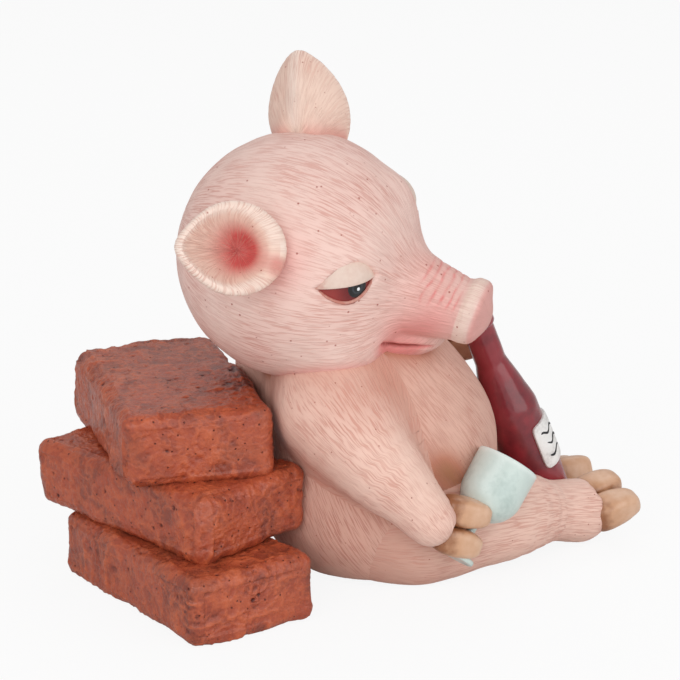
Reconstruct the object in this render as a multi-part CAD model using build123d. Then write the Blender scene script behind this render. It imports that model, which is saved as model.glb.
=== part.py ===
"""Seated pig ornament in cast resin, leaning back on three stacked bricks with a bottle and a wine glass.

Millimetres. +X is the way the pig sits facing, +Y is its left, +Z is up. The origin is the middle of the
flat that the pig sits on. Every casting is a solid of its own, keyed or seated into its neighbours with a
glue seam between them.
"""

import os
from math import acos, cos, degrees, radians, sin

from build123d import *

# The whole figure
GLUE_GAP = 0.15  # seam between two castings that are glued together
OVERRUN = 5.0  # how far a cutting tool runs past what it cuts

# Torso: an upright belly with a flat seat, and a chest that leans back to the neck
BELLY_R = 30.0
BELLY_RISE = 31.0  # belly centre above the table
SEAT_R = 19.0  # flat that the pig sits on
RECLINE_DEG = 22.3
CHEST_R = 25.0
CHEST_RISE = 19.0  # from the belly centre, along the lean
NECK_R = 19.5

# Head: a ball with the snout drawn out of it
HEAD_R = 30.5
NECK_SINK = 4.9  # how far the head ball and the belly ball would overlap
HEAD_YAW_DEG = -42.7  # turned to the pig's right
HEAD_PITCH_DEG = 13.2  # looking down
HEAD_ROLL_DEG = 22.5  # tilted onto its right side
SNOUT_DIP_DEG = 0.5  # snout below the line of the head
SNOUT_REACH = 47.2  # head centre to the face of the snout disc
SNOUT_R = 7.6
SNOUT_ROOT_R = 10.4
SNOUT_LENGTH = 12.0
DISC_R = 8.2
DISC_T = 5.4
DISC_DIP_DEG = 4.0  # the disc looks down this much more than the snout
DISC_ROUND = 1.1
NOSTRIL_R = 1.9
NOSTRIL_DEPTH = 2.4
JAW_R = 12.0
CHIN_R = 7.6
CHEEK_R = 11.2
MOUTH_GAP = 0.8

# Neck dowel, hidden in the torso and the head
DOWEL_R = 2.5
DOWEL_LENGTH = 24.0
DOWEL_CLEARANCE = 0.1

# Ears: pointed-oval cups with a thick rim and a peg that seats in the head
EAR_TIP = 15.5  # middle of the rim to the tip
EAR_HEEL = 13.0  # middle of the rim to the blunt end
EAR_HALF = 10.8  # middle of the rim to either side
EAR_DEPTH = 14.0  # rim to the root
EAR_PEG_R = 2.2
EAR_PEG_LENGTH = 6.0
EAR_PEG_STAND = 1.5  # how far the peg stands out of the head, in the ear

# Eyes: a ball in a socket, with a lid over its upper part
EYE_R = 9.0
EYE_STAND = 0.5  # how far the ball stands out of the head
LID_T = 0.7
LID_DROOP_DEG = 8.0

# Arms
SHOULDER_R = 13.4
ELBOW_R = 10.3
WRIST_R = 7.6
PALM_R = 6.95
ARM_PEG_R = 3.0
ARM_PEG_LENGTH = 6.0

# Legs
HIP_R = 13.5
KNEE_R = 11.6
ANKLE_R = 6.7
FOOT_R = 8.3
LEG_REACH = 51.5  # seat middle to the ball of the foot
LEG_SPREAD = 12.0  # foot middle to the middle plane
LEG_PEG_R = 3.5
LEG_PEG_LENGTH = 7.0

# Hooves, two to a trotter
FORE_HOOF_LENGTH = 13.0
FORE_HOOF_WIDTH = 7.3
FORE_HOOF_THICKNESS = 9.4
HIND_HOOF_LENGTH = 14.0
HIND_HOOF_WIDTH = 8.4
HIND_HOOF_THICKNESS = 9.0
CLEFT = 0.5  # gap between the two hooves of a trotter

# Bottle and its label
BOTTLE_R = 7.5
BOTTLE_LENGTH = 63.0
BOTTLE_BODY = 35.0  # base to where the shoulder starts
BOTTLE_SHOULDER = 14.0
BOTTLE_NECK_R = 4.1
BOTTLE_LIP_R = 4.8
BOTTLE_LIP = 3.2
BOTTLE_ROUND = 1.0  # rounding of the base
BOTTLE_LEAN_DEG = 23.0
BOTTLE_STAND = 3.6  # middle of the base above the table
LABEL_WIDTH = 12.5
LABEL_HEIGHT = 13.0
LABEL_T = 0.9
LABEL_CORNER_R = 2.4
LABEL_RISE = 23.0  # base of the bottle to the label's middle
LABEL_TURN_DEG = -38.0

# Wine glass: bowl and stem in one, with a foot that is glued on below the trotter
BOWL_R = 8.0
BOWL_DEPTH = 16.0
BOWL_WALL = 0.9
RIM_R = 7.8
STEM_R = 1.2
STEM_LENGTH = 11.0
FOOT_DISC_R = 4.6
FOOT_DISC_T = 1.3
STEM_SEAT = 0.7  # how deep the stem stands in the foot
GLASS_LEAN_DEG = 39.0
GLASS_SWING_DEG = 14.0  # the way the glass leans, from +X towards +Y
GRIP_RISE = 6.5  # foot to the point that the trotter holds

# Bricks, and the pins that key the stack
BRICK_LENGTH = 62.0
BRICK_WIDTH = 34.5
BRICK_HEIGHT = 16.6
BRICK_ROUND = 3.0
BRICK_PIN_R = 2.0
BRICK_PIN_LENGTH = 12.0
BRICK_PIN_SPACING = 20.0

# Shapes and places as shares of the size that each follows
FLANK_SHARE = 0.28  # swell of the flank between the seat and the belly, of the step between them
FLANK_RISE_SHARE = 0.32
NECK_END_SHARE = 0.55  # how far the neck runs up inside the head's radius
CHEST_ROOT_SHARE = 0.93
STOP_DIP_SHARE = 0.18  # hollow between forehead and snout, of the snout's radius
NOSTRIL_SIDE_SHARE = 0.42
MOUTH_BACK_SHARE = 0.9
MOUTH_DROP_SHARE = 0.8
MOUTH_CORE_SHARE = 0.98
DOME_SHARES = ((0.97, 0.24), (0.80, 0.60), (0.45, 0.893))  # out along a limb and wide, of its end's radius
BOW_SHARE = 0.125  # how far a curved run of a limb bows out between two points, of its length
# Rings of an ear, outside and down its cup: size, rise of the depth, and shift towards the tip, of the heel
EAR_RINGS = ((0.42, -1, -0.46), (0.66, -0.71, -0.28), (0.87, -0.4, -0.09), (0.98, -0.17, -0.01), (1, -0.06, 0), (0.95, 0, 0.01))
CUP_RINGS = ((0.88, 0.06, 0.05), (0.77, -0.04, 0.09), (0.64, -0.16, 0.06), (0.46, -0.33, -0.05), (0.26, -0.49, -0.18))
EAR_POINT_SHARE = 0.36  # how much an ear draws in to its tip
EAR_RING_STEP_DEG = 30  # spacing of the points that a ring runs through
EAR_PEG_SEAT_SHARES = (-0.23, -0.75)  # towards the tip, of the heel, and out of the cup, of the depth
FORE_SEAT_SHARE = 0.677  # hoof middle beyond the palm's middle, of the hoof's length
HIND_SEAT_SHARE = 0.614
HIP_FORWARD_SHARE = 0.12
HIP_SIDE_SHARE = 0.56
KNEE_ALONG_SHARE = 0.45
KNEE_BOW_SHARE = 0.25
KNEE_RISE_SHARE = 1.15
ANKLE_BACK_SHARE = 1.25
ANKLE_BOW_SHARE = 0.25
ANKLE_RISE_SHARE = 1.15
SHOULDER_BULGE_SHARE = 0.14
GRIP_SIDE_SHARE = 0.515
GRIP_ALONG_SHARE = 0.98
GRIP_LOW_SHARE = 0.31
RIGHT_ARM_SHARES = ((-0.68, -0.53, 0.57), (-0.47, -0.93, 0.17), (-0.27, -1.11, -0.08), (-0.13, -1.225, -0.27))
LEFT_ARM_SHARES = ((-0.62, 0.62, 0.58), (0.20, 0.98, 0.34), (0.62, 0.84, 0.54), (0.84, 0.69, 0.64))
RIGHT_EAR_SEAT_SHARES = (-0.184, -1.062, 0.816)  # middle of the rim forward, left, up, of the head's radius
LEFT_EAR_SEAT_SHARES = (-0.341, 0.849, 0.718)
EYE_SEAT_SHARES = (0.598, 0.659, 0.456)
JAW_SEAT_SHARES = (0.64, 0.0, -0.36)
CHIN_SEAT_SHARES = (0.97, 0.0, -0.36)
CHEEK_SEAT_SHARES = (0.46, 0.43, -0.31)
BOTTLE_BACK_SHARE = 0.1  # middle of the bottle's base behind the balls of the feet, of its radius
BRICK_BACK_SHARES = (0.71, 0.70, 0.61)  # brick middle behind the belly, of the brick's width
BRICK_SIDE_SHARES = (-0.043, 0.136, 0.274)  # brick middle to the pig's left, of the brick's length
BRICK_TURNS_DEG = (10.2, 20.4, -8.2)
BRICK_NAMES = ("brick_bottom", "brick_middle", "brick_top")

# Ways that pieces point, as forward, left, up
RIGHT_EAR_WAY = (-0.738, -0.638, 0.218)
LEFT_EAR_WAY = (-0.475, 0.529, 0.703)
RIGHT_EAR_FACE = (0.586, -0.446, 0.677)
LEFT_EAR_FACE = (0.057, 0.816, -0.576)
RIGHT_HAND_WAY = (0.90, -0.10, -0.32)
RIGHT_HAND_ACROSS = (0.30, 0.05, 0.95)
LEFT_HAND_WAY = (0.48, -0.82, 0.30)
LEFT_HAND_ACROSS = (-0.30, 0.05, 0.95)
RIGHT_FOOT_WAY = (0.95, -0.02, 0.28)
LEFT_FOOT_WAY = (0.95, 0.02, 0.06)
FOOT_ACROSS = (0.0, 0.95, 0.30)

# Places that follow from the sizes
BELLY = Vector(0, 0, BELLY_RISE)
LEAN = Vector(-sin(radians(RECLINE_DEG)), 0, cos(radians(RECLINE_DEG)))
NECK_SPAN = BELLY_R + HEAD_R - NECK_SINK
HEAD = BELLY + LEAN * NECK_SPAN
HEAD_FRAME = Pos(*HEAD) * Rot(0, 0, HEAD_YAW_DEG) * Rot(0, HEAD_PITCH_DEG, 0) * Rot(HEAD_ROLL_DEG, 0, 0)
CHEST_PLANE = Plane(origin=BELLY, x_dir=(cos(radians(RECLINE_DEG)), 0, sin(radians(RECLINE_DEG))), z_dir=LEAN)
BOWL_MIDDLE = STEM_LENGTH + BOWL_R  # centre of the bowl's round bottom above the foot
SNOUT_FRAME = HEAD_FRAME * Rot(0, SNOUT_DIP_DEG, 0)
DISC_FRAME = SNOUT_FRAME * Pos(SNOUT_REACH, 0, 0) * Rot(0, DISC_DIP_DEG, 0)
SKULL_JOIN_DEG = 42.0  # where the face leaves the skull's ball, from the snout's axis


def shares_of(size, shares):
    """A vector of shares times one size."""
    return Vector(*(size * share for share in shares))


def mirrored(vector, side):
    """The vector as it is on one side of the middle plane: side is -1 for the right and 1 for the left."""
    return Vector(vector.X, side * vector.Y, vector.Z)


def spun(outline):
    """A solid of revolution about Z from a closed outline of radius and height."""
    return revolve(Plane.XZ * make_face(outline), Axis.Z)


def spun_forward(outline):
    """A solid of revolution about X from a closed outline of distance and radius."""
    return revolve(make_face(outline), Axis.X)


def limb(points, radii):
    """A limb that swells and tapers along its points: one loft of circles, drawn in to a dome at each end."""
    ways = []
    for index in range(len(points)):
        before = points[max(index - 1, 0)]
        after = points[min(index + 1, len(points) - 1)]
        ways.append((after - before).normalized())
    rows = [(points[0] - ways[0] * (radii[0] * out), ways[0], radii[0] * wide) for out, wide in DOME_SHARES]
    for index, (point, way, radius) in enumerate(zip(points, ways, radii)):
        rows.append((point, way, radius))
        if index + 1 < len(points):
            span = points[index + 1] - point
            bow = (way - ways[index + 1]) * (span.length * BOW_SHARE)
            middle = point + span / 2 + bow
            rows.append((middle, span.normalized(), (radius + radii[index + 1]) / 2))
    for out, wide in reversed(DOME_SHARES):
        rows.append((points[-1] + ways[-1] * (radii[-1] * out), ways[-1], radii[-1] * wide))
    upright = Vector(0, 0, 1)
    planes = [Plane(origin=at, x_dir=upright.cross(way), z_dir=way) for at, way, _ in rows]
    return loft([plane * Circle(row[-1]) for plane, row in zip(planes, rows)])


def peg(start, way, radius, length):
    """A round peg from a point, along a way."""
    rod = Cylinder(radius, length, align=(Align.CENTER, Align.CENTER, Align.MIN))
    return Plane(origin=start, z_dir=way) * rod


# Torso
def torso_body(grow=0.0):
    """Belly and chest before they are cut for their neighbours."""
    belly_r = BELLY_R + grow
    seat_r = SEAT_R + grow
    flank = ((belly_r + seat_r) / 2 + (belly_r - seat_r) * FLANK_SHARE, BELLY_RISE * FLANK_RISE_SHARE)
    belly = spun(
        Line((0, -grow), (seat_r, -grow))
        + ThreePointArc((seat_r, -grow), flank, (belly_r, BELLY_RISE))
        + CenterArc((0, BELLY_RISE), belly_r, 0, 90)
        + Line((0, BELLY_RISE + belly_r), (0, -grow))
    )
    neck_rise = NECK_SPAN - HEAD_R * NECK_END_SHARE
    chest_r = CHEST_R + grow
    neck_r = NECK_R + grow
    root_r = belly_r * CHEST_ROOT_SHARE
    chest = spun(
        Line((0, 0), (root_r, 0))
        + ThreePointArc((root_r, 0), (chest_r, CHEST_RISE), (neck_r, neck_rise))
        + Line((neck_r, neck_rise), (0, neck_rise))
        + Line((0, neck_rise), (0, 0))
    )
    return belly + CHEST_PLANE * chest


def torso():
    """The torso with its seats for the head, limbs, bottle and bricks."""
    solid = torso_body() - head_body(GLUE_GAP) - bottle_body(GLUE_GAP) - glass_body(GLUE_GAP)
    for index in range(len(BRICK_NAMES)):
        solid -= brick_body(index, GLUE_GAP)
    solid -= neck_dowel(DOWEL_CLEARANCE)
    for points in (arm_points(-1), arm_points(1)):
        solid -= shoulder_peg(points, GLUE_GAP)
    for side in (-1, 1):
        solid -= hip_peg(side, GLUE_GAP)
    return solid


# Head
def head_body(grow=0.0):
    """Skull, snout and jaw before they are cut for eyes and ears."""
    skull_r = HEAD_R + grow
    join = radians(SKULL_JOIN_DEG)
    join_point = (skull_r * cos(join), skull_r * sin(join))
    disc_back = SNOUT_REACH - DISC_T
    snout_back = disc_back - SNOUT_LENGTH
    snout_end = SNOUT_REACH + SNOUT_R * sin(radians(DISC_DIP_DEG))
    stop = ((join_point[0] + snout_back) / 2, (join_point[1] + SNOUT_ROOT_R) / 2 - STOP_DIP_SHARE * SNOUT_R)
    nose = spun_forward(
        CenterArc((0, 0), skull_r, SKULL_JOIN_DEG, 180 - SKULL_JOIN_DEG)
        + ThreePointArc(join_point, stop, (snout_back, SNOUT_ROOT_R + grow))
        + Line((snout_back, SNOUT_ROOT_R + grow), (disc_back, SNOUT_R + grow))
        + Line((disc_back, SNOUT_R + grow), (snout_end, SNOUT_R + grow))
        + Line((snout_end, SNOUT_R + grow), (snout_end, 0))
        + Line((snout_end, 0), (-skull_r, 0))
    )
    beyond = Pos(grow, 0, 0) * Box(HEAD_R, HEAD_R, HEAD_R, align=(Align.MIN, Align.CENTER, Align.CENTER))
    plate = Rot(0, 90, 0) * Cylinder(
        DISC_R + grow, DISC_T + 2 * grow, align=(Align.CENTER, Align.CENTER, Align.MAX)
    )
    disc = Pos(grow, 0, 0) * fillet(plate.edges().filter_by(GeomType.CIRCLE), DISC_ROUND)
    solid = SNOUT_FRAME * nose - DISC_FRAME * beyond + DISC_FRAME * disc
    for shares, radius in ((JAW_SEAT_SHARES, JAW_R), (CHIN_SEAT_SHARES, CHIN_R)):
        solid += HEAD_FRAME * Pos(*shares_of(HEAD_R, shares)) * Sphere(radius + grow)
    for side in (-1, 1):
        cheek = mirrored(shares_of(HEAD_R, CHEEK_SEAT_SHARES), side)
        solid += HEAD_FRAME * Pos(*cheek) * Sphere(CHEEK_R + grow)
    return solid


def head():
    """The head with nostrils, mouth, eye sockets, ear sockets and the dowel hole."""
    solid = head_body() - neck_dowel(DOWEL_CLEARANCE)
    for side in (-1, 1):
        solid -= eyeball(side, GLUE_GAP)
        solid -= ear_peg(side, GLUE_GAP)
        nostril_seat = (-NOSTRIL_DEPTH, side * DISC_R * NOSTRIL_SIDE_SHARE, 0)
        solid -= DISC_FRAME * Pos(*nostril_seat) * Rot(0, 90, 0) * Cylinder(
            NOSTRIL_R, NOSTRIL_DEPTH + OVERRUN, align=(Align.CENTER, Align.CENTER, Align.MIN)
        )
    mouth_back = HEAD_R * MOUTH_BACK_SHARE
    mouth_length = SNOUT_REACH - DISC_T - mouth_back
    mouth = Box(
        mouth_length,
        HEAD_R,
        MOUTH_GAP,
        align=(Align.MIN, Align.CENTER, Align.CENTER),
    )
    core = Rot(0, 90, 0) * Cylinder(
        SNOUT_R * MOUTH_CORE_SHARE, mouth_length, align=(Align.CENTER, Align.CENTER, Align.MIN)
    )
    drop = SNOUT_R * MOUTH_DROP_SHARE
    slot = Pos(mouth_back, 0, -drop) * (mouth - Pos(0, 0, drop) * core)
    return solid - SNOUT_FRAME * slot


def neck_dowel(grow=0.0):
    """The pin that carries the head, half in the torso and half in the head."""
    length = DOWEL_LENGTH + 2 * grow
    middle = BELLY + LEAN * (NECK_SPAN - HEAD_R)
    return Plane(origin=middle, z_dir=LEAN) * Cylinder(DOWEL_R + grow, length)


# Ears
def ear_frame(side):
    """Frame of an ear: the middle of its rim, X to its tip, Z the way that its cup faces."""
    way = Vector(*(RIGHT_EAR_WAY if side < 0 else LEFT_EAR_WAY)).normalized()
    face = Vector(*(RIGHT_EAR_FACE if side < 0 else LEFT_EAR_FACE))
    middle = shares_of(HEAD_R, RIGHT_EAR_SEAT_SHARES if side < 0 else LEFT_EAR_SEAT_SHARES)
    return HEAD_FRAME * Plane(origin=middle, x_dir=way, z_dir=face).location


def ear_ring(size, rise, shift):
    """One pointed-oval face across an ear, by its shares."""
    points = []
    for turn in range(0, 360, EAR_RING_STEP_DEG):
        ahead = cos(radians(turn))
        long = (EAR_TIP if ahead > 0 else EAR_HEEL) * ahead
        wide = EAR_HALF * sin(radians(turn)) * (1 - EAR_POINT_SHARE * max(ahead, 0) ** 2)
        points.append((size * long + shift * EAR_HEEL, size * wide))
    return Pos(0, 0, rise * EAR_DEPTH) * make_face(Spline(*points, periodic=True))


def ear_peg(side, grow=0.0):
    """The peg that an ear seats in the head by, pointing at the middle of the head."""
    ahead, out = EAR_PEG_SEAT_SHARES
    seat = (ear_frame(side) * Pos(ahead * EAR_HEEL, 0, out * EAR_DEPTH)).position
    inward = (HEAD - seat).normalized()
    start = HEAD - inward * (HEAD_R + EAR_PEG_STAND)
    return peg(start, inward, EAR_PEG_R + grow, EAR_PEG_STAND + EAR_PEG_LENGTH + grow)


def ear(side):
    """A cupped ear, cut to the head's curve, with its peg."""
    outside = loft([ear_ring(*ring) for ring in EAR_RINGS], ruled=True)
    cup = loft([ear_ring(*ring) for ring in CUP_RINGS], ruled=True)
    solid = ear_frame(side) * (outside - cup) - head_body(GLUE_GAP)
    return biggest(solid) + ear_peg(side)


def biggest(shape):
    """The largest solid of a shape."""
    return shape.solids().sort_by(SortBy.VOLUME)[-1]


# Eyes
def eye_middle(side):
    """Centre of an eyeball in the head's frame."""
    way = mirrored(Vector(*EYE_SEAT_SHARES), side).normalized()
    return way * (HEAD_R - EYE_R + EYE_STAND)


def eyeball(side, grow=0.0):
    """The glossy ball in its socket."""
    return HEAD_FRAME * Pos(*eye_middle(side)) * Sphere(EYE_R + grow)


def eyelid(side):
    """The upper lid: a shell over the upper part of the eyeball, outside the head."""
    inner_r = EYE_R + GLUE_GAP
    shell = Sphere(inner_r + LID_T) - Sphere(inner_r)
    opening = Rot(0, LID_DROOP_DEG, 0) * Box(
        4 * EYE_R, 4 * EYE_R, 4 * EYE_R, align=(Align.CENTER, Align.CENTER, Align.MAX)
    )
    lid = HEAD_FRAME * Pos(*eye_middle(side)) * (shell - opening)
    return biggest(lid - head_body(GLUE_GAP))


# Arms
def arm_points(side):
    """The points that an arm follows, from the shoulder to the palm."""
    table = RIGHT_ARM_SHARES if side < 0 else LEFT_ARM_SHARES
    return [BELLY + shares_of(BELLY_R, shares) for shares in table]


def shoulder_peg(points, grow=0.0):
    """The peg between an arm and the torso, pointing at the middle of the body."""
    elbow = points[1]
    inward = (BELLY - elbow).normalized()
    start = BELLY - inward * (BELLY_R + GLUE_GAP)
    return peg(start - inward * ARM_PEG_R, inward, ARM_PEG_R + grow, ARM_PEG_LENGTH + ARM_PEG_R + grow)


def hand_plane(side):
    """Frame of a fore trotter: Z the way it points, X across its two hooves."""
    way = RIGHT_HAND_WAY if side < 0 else LEFT_HAND_WAY
    across = RIGHT_HAND_ACROSS if side < 0 else LEFT_HAND_ACROSS
    return Plane(origin=arm_points(side)[-1], x_dir=across, z_dir=way)


def arm_body(side, grow=0.0):
    """An arm before it is cut for its neighbours."""
    radii = [radius + grow for radius in (SHOULDER_R, ELBOW_R, WRIST_R, PALM_R)]
    return limb(arm_points(side), radii)


def arm(side):
    """An arm fitted to the torso, with its peg and its hoof seats."""
    solid = arm_body(side) - torso_body(GLUE_GAP) - head_body(GLUE_GAP) - bottle_body(GLUE_GAP)
    for index in range(len(BRICK_NAMES)):
        solid -= brick_body(index, GLUE_GAP)
    solid -= hooves(hand_plane(side), fore_hoof_size(), GLUE_GAP)
    solid -= glass_body(GLUE_GAP)
    return biggest(solid) + shoulder_peg(arm_points(side))


# Hooves
def fore_hoof_size():
    """Length, width, thickness and reach from the palm's middle of a fore hoof."""
    return FORE_HOOF_LENGTH, FORE_HOOF_WIDTH, FORE_HOOF_THICKNESS, FORE_HOOF_LENGTH * FORE_SEAT_SHARE


def hind_hoof_size():
    """Length, width, thickness and reach from the foot's middle of a hind hoof."""
    return HIND_HOOF_LENGTH, HIND_HOOF_WIDTH, HIND_HOOF_THICKNESS, HIND_HOOF_LENGTH * HIND_SEAT_SHARE


def hooves(plane, size, grow=0.0):
    """The two hooves of a trotter, side by side with a cleft between them."""
    length, width, thickness, reach = size
    pair = None
    for side in (-1, 1):
        horn = scale(Sphere(1), by=(width / 2 + grow, thickness / 2 + grow, length / 2 + grow))
        placed = plane * Pos(side * (width + CLEFT) / 2, 0, reach) * horn
        pair = placed if pair is None else pair + placed
    return pair


def fore_hooves(side):
    """The hooves of a fore trotter, relieved for the glass stem or the bottle that they hold."""
    return hooves(hand_plane(side), fore_hoof_size()) - glass_body(GLUE_GAP) - bottle_body(GLUE_GAP)


# Legs
def leg_points(side):
    """The points that a leg follows, from the hip to the ball of the foot."""
    hip = Vector(BELLY_R * HIP_FORWARD_SHARE, side * BELLY_R * HIP_SIDE_SHARE, HIP_R)
    foot = Vector(LEG_REACH, side * LEG_SPREAD, FOOT_R)
    knee = Vector(*(hip + (foot - hip) * KNEE_ALONG_SHARE))
    knee = Vector(knee.X, side * (abs(knee.Y) + KNEE_R * KNEE_BOW_SHARE), KNEE_R * KNEE_RISE_SHARE)
    ankle_side = side * (LEG_SPREAD + ANKLE_R * ANKLE_BOW_SHARE)
    ankle = Vector(LEG_REACH - FOOT_R * ANKLE_BACK_SHARE, ankle_side, FOOT_R * ANKLE_RISE_SHARE)
    return [hip, knee, ankle, foot]


def foot_plane(side):
    """Frame of a hind trotter: Z the way it points, X across its two hooves."""
    across = mirrored(Vector(*FOOT_ACROSS), -side)
    return Plane(origin=leg_points(side)[-1], x_dir=across, z_dir=Vector(*(RIGHT_FOOT_WAY if side < 0 else LEFT_FOOT_WAY)))


def hip_peg(side, grow=0.0):
    """The peg between a leg and the torso, level, pointing at the upright through the seat."""
    knee = leg_points(side)[1]
    inward = Vector(-knee.X, -knee.Y, 0).normalized()
    start = Vector(0, 0, knee.Z) - inward * (BELLY_R + LEG_PEG_R)
    return peg(start, inward, LEG_PEG_R + grow, LEG_PEG_R + LEG_PEG_LENGTH + grow)


def leg(side):
    """A leg fitted to the torso and the bottle, with its peg and its hoof seats."""
    table = Box(
        4 * LEG_REACH, 4 * LEG_REACH, 4 * HIP_R, align=(Align.CENTER, Align.CENTER, Align.MAX)
    )
    solid = limb(leg_points(side), (HIP_R, KNEE_R, ANKLE_R, FOOT_R)) - table
    solid -= torso_body(GLUE_GAP)
    solid -= bottle_body(GLUE_GAP)
    solid -= hooves(foot_plane(side), hind_hoof_size(), GLUE_GAP)
    solid -= arm_body(side, GLUE_GAP)
    solid -= hooves(hand_plane(side), fore_hoof_size(), GLUE_GAP)
    solid -= glass_body(GLUE_GAP)
    return biggest(solid) + hip_peg(side)


# Bottle
BOTTLE_FOOT = LEG_REACH - BOTTLE_R * BOTTLE_BACK_SHARE
BOTTLE_FRAME = Pos(BOTTLE_FOOT, 0, BOTTLE_STAND) * Rot(0, -BOTTLE_LEAN_DEG, 0)


def bottle_body(grow=0.0):
    """The bottle as a solid of revolution: body, shoulder, neck and lip."""
    body_r = BOTTLE_R + grow
    neck_r = BOTTLE_NECK_R + grow
    lip_r = BOTTLE_LIP_R + grow
    shoulder_end = BOTTLE_BODY + BOTTLE_SHOULDER
    lip_start = BOTTLE_LENGTH - BOTTLE_LIP
    middle = ((body_r + neck_r) / 2, BOTTLE_BODY + BOTTLE_SHOULDER / 2)
    bulge = (body_r - neck_r) * SHOULDER_BULGE_SHARE
    quarter = BOTTLE_SHOULDER / 4
    near = ((body_r + middle[0]) / 2 + bulge, BOTTLE_BODY + quarter)
    far = ((neck_r + middle[0]) / 2 - bulge, shoulder_end - quarter)
    return BOTTLE_FRAME * spun(
        Line((0, -grow), (body_r - BOTTLE_ROUND, -grow))
        + Line((body_r - BOTTLE_ROUND, -grow), (body_r, BOTTLE_ROUND))
        + Line((body_r, BOTTLE_ROUND), (body_r, BOTTLE_BODY))
        + ThreePointArc((body_r, BOTTLE_BODY), near, middle)
        + ThreePointArc(middle, far, (neck_r, shoulder_end))
        + Line((neck_r, shoulder_end), (neck_r, lip_start - grow))
        + Line((neck_r, lip_start - grow), (lip_r, lip_start - grow))
        + Line((lip_r, lip_start - grow), (lip_r, BOTTLE_LENGTH + grow))
        + Line((lip_r, BOTTLE_LENGTH + grow), (0, BOTTLE_LENGTH + grow))
        + Line((0, BOTTLE_LENGTH + grow), (0, -grow))
    )


def bottle_label():
    """The raised label: a rounded plate wrapped round the front of the bottle's body."""
    inner_r = BOTTLE_R + GLUE_GAP
    ring = Cylinder(inner_r + LABEL_T, LABEL_HEIGHT + OVERRUN) - Cylinder(inner_r, LABEL_HEIGHT + OVERRUN)
    outline = Plane.YZ * RectangleRounded(LABEL_WIDTH, LABEL_HEIGHT, LABEL_CORNER_R)
    plate = extrude(outline, BOTTLE_R + LABEL_T + OVERRUN)
    return BOTTLE_FRAME * Pos(0, 0, LABEL_RISE) * Rot(0, 0, LABEL_TURN_DEG) * (ring & plate)


# Wine glass
def glass_frame():
    """Frame of the glass: Z from its foot to its rim, set by the point that the right trotter holds."""
    grip_side = FORE_HOOF_THICKNESS / 2 * GRIP_SIDE_SHARE + STEM_R
    grip_low = FORE_HOOF_WIDTH * GRIP_LOW_SHARE
    grip = hand_plane(-1) * Pos(-grip_low, -grip_side, FORE_HOOF_LENGTH * GRIP_ALONG_SHARE)
    turn = Rot(0, 0, GLASS_SWING_DEG) * Rot(0, GLASS_LEAN_DEG, 0)
    return Pos(*grip.position) * turn * Pos(0, 0, -GRIP_RISE)


def bowl_outline(grow=0.0):
    """Outside of the bowl from the stem to the rim: a round bottom, then a side that draws in."""
    bowl_r = BOWL_R + grow
    stem_deg = degrees(acos((STEM_R + grow) / bowl_r))
    rim_height = BOWL_MIDDLE + BOWL_DEPTH - BOWL_R + grow
    bottom = CenterArc((0, BOWL_MIDDLE), bowl_r, -stem_deg, stem_deg)
    side = Line((bowl_r, BOWL_MIDDLE), (RIM_R + grow, rim_height))
    stem_end = (STEM_R + grow, BOWL_MIDDLE - bowl_r * sin(radians(stem_deg)))
    return bottom, side, stem_end, rim_height


def glass_body(grow=0.0):
    """The whole glass with its bowl filled, for cutting clearance in what lies against it."""
    bottom, side, stem_end, rim_height = bowl_outline(grow)
    foot_r = FOOT_DISC_R + grow
    foot_top = FOOT_DISC_T + grow
    return glass_frame() * spun(
        Line((0, -grow), (foot_r, -grow))
        + Line((foot_r, -grow), (foot_r, foot_top))
        + Line((foot_r, foot_top), (STEM_R + grow, foot_top))
        + Line((STEM_R + grow, foot_top), stem_end)
        + bottom
        + side
        + Line((RIM_R + grow, rim_height), (0, rim_height))
        + Line((0, rim_height), (0, -grow))
    )


def glass_bowl():
    """The hollow bowl and its stem, which stands in the foot."""
    bottom, side, stem_end, rim_height = bowl_outline()
    stem_start = FOOT_DISC_T - STEM_SEAT + GLUE_GAP
    inner_r = BOWL_R - BOWL_WALL
    return glass_frame() * spun(
        Line((0, stem_start), (STEM_R, stem_start))
        + Line((STEM_R, stem_start), stem_end)
        + bottom
        + side
        + Line((RIM_R, rim_height), (RIM_R - BOWL_WALL, rim_height))
        + Line((RIM_R - BOWL_WALL, rim_height), (inner_r, BOWL_MIDDLE))
        + CenterArc((0, BOWL_MIDDLE), inner_r, -90, 90)
        + Line((0, BOWL_MIDDLE - inner_r), (0, stem_start))
    )


def glass_foot():
    """The round foot with a seat for the stem."""
    disc = Cylinder(FOOT_DISC_R, FOOT_DISC_T, align=(Align.CENTER, Align.CENTER, Align.MIN))
    seat = Pos(0, 0, FOOT_DISC_T - STEM_SEAT) * Cylinder(
        STEM_R + GLUE_GAP, STEM_SEAT + OVERRUN, align=(Align.CENTER, Align.CENTER, Align.MIN)
    )
    return glass_frame() * (disc - seat)


# Bricks
def brick_frame(index):
    """Frame of a brick: X along its length, Z up, origin in the middle of its underside."""
    back = -(BELLY_R + BRICK_WIDTH * BRICK_BACK_SHARES[index])
    left = BRICK_LENGTH * BRICK_SIDE_SHARES[index]
    return Pos(back, left, index * (BRICK_HEIGHT + GLUE_GAP)) * Rot(0, 0, 90 + BRICK_TURNS_DEG[index])


def brick_body(index, grow=0.0):
    """A brick with rounded edges, before its pin holes."""
    block = Box(
        BRICK_LENGTH + 2 * grow,
        BRICK_WIDTH + 2 * grow,
        BRICK_HEIGHT + 2 * grow,
        align=(Align.CENTER, Align.CENTER, Align.MIN),
    )
    return brick_frame(index) * Pos(0, 0, -grow) * fillet(block.edges(), BRICK_ROUND)


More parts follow.
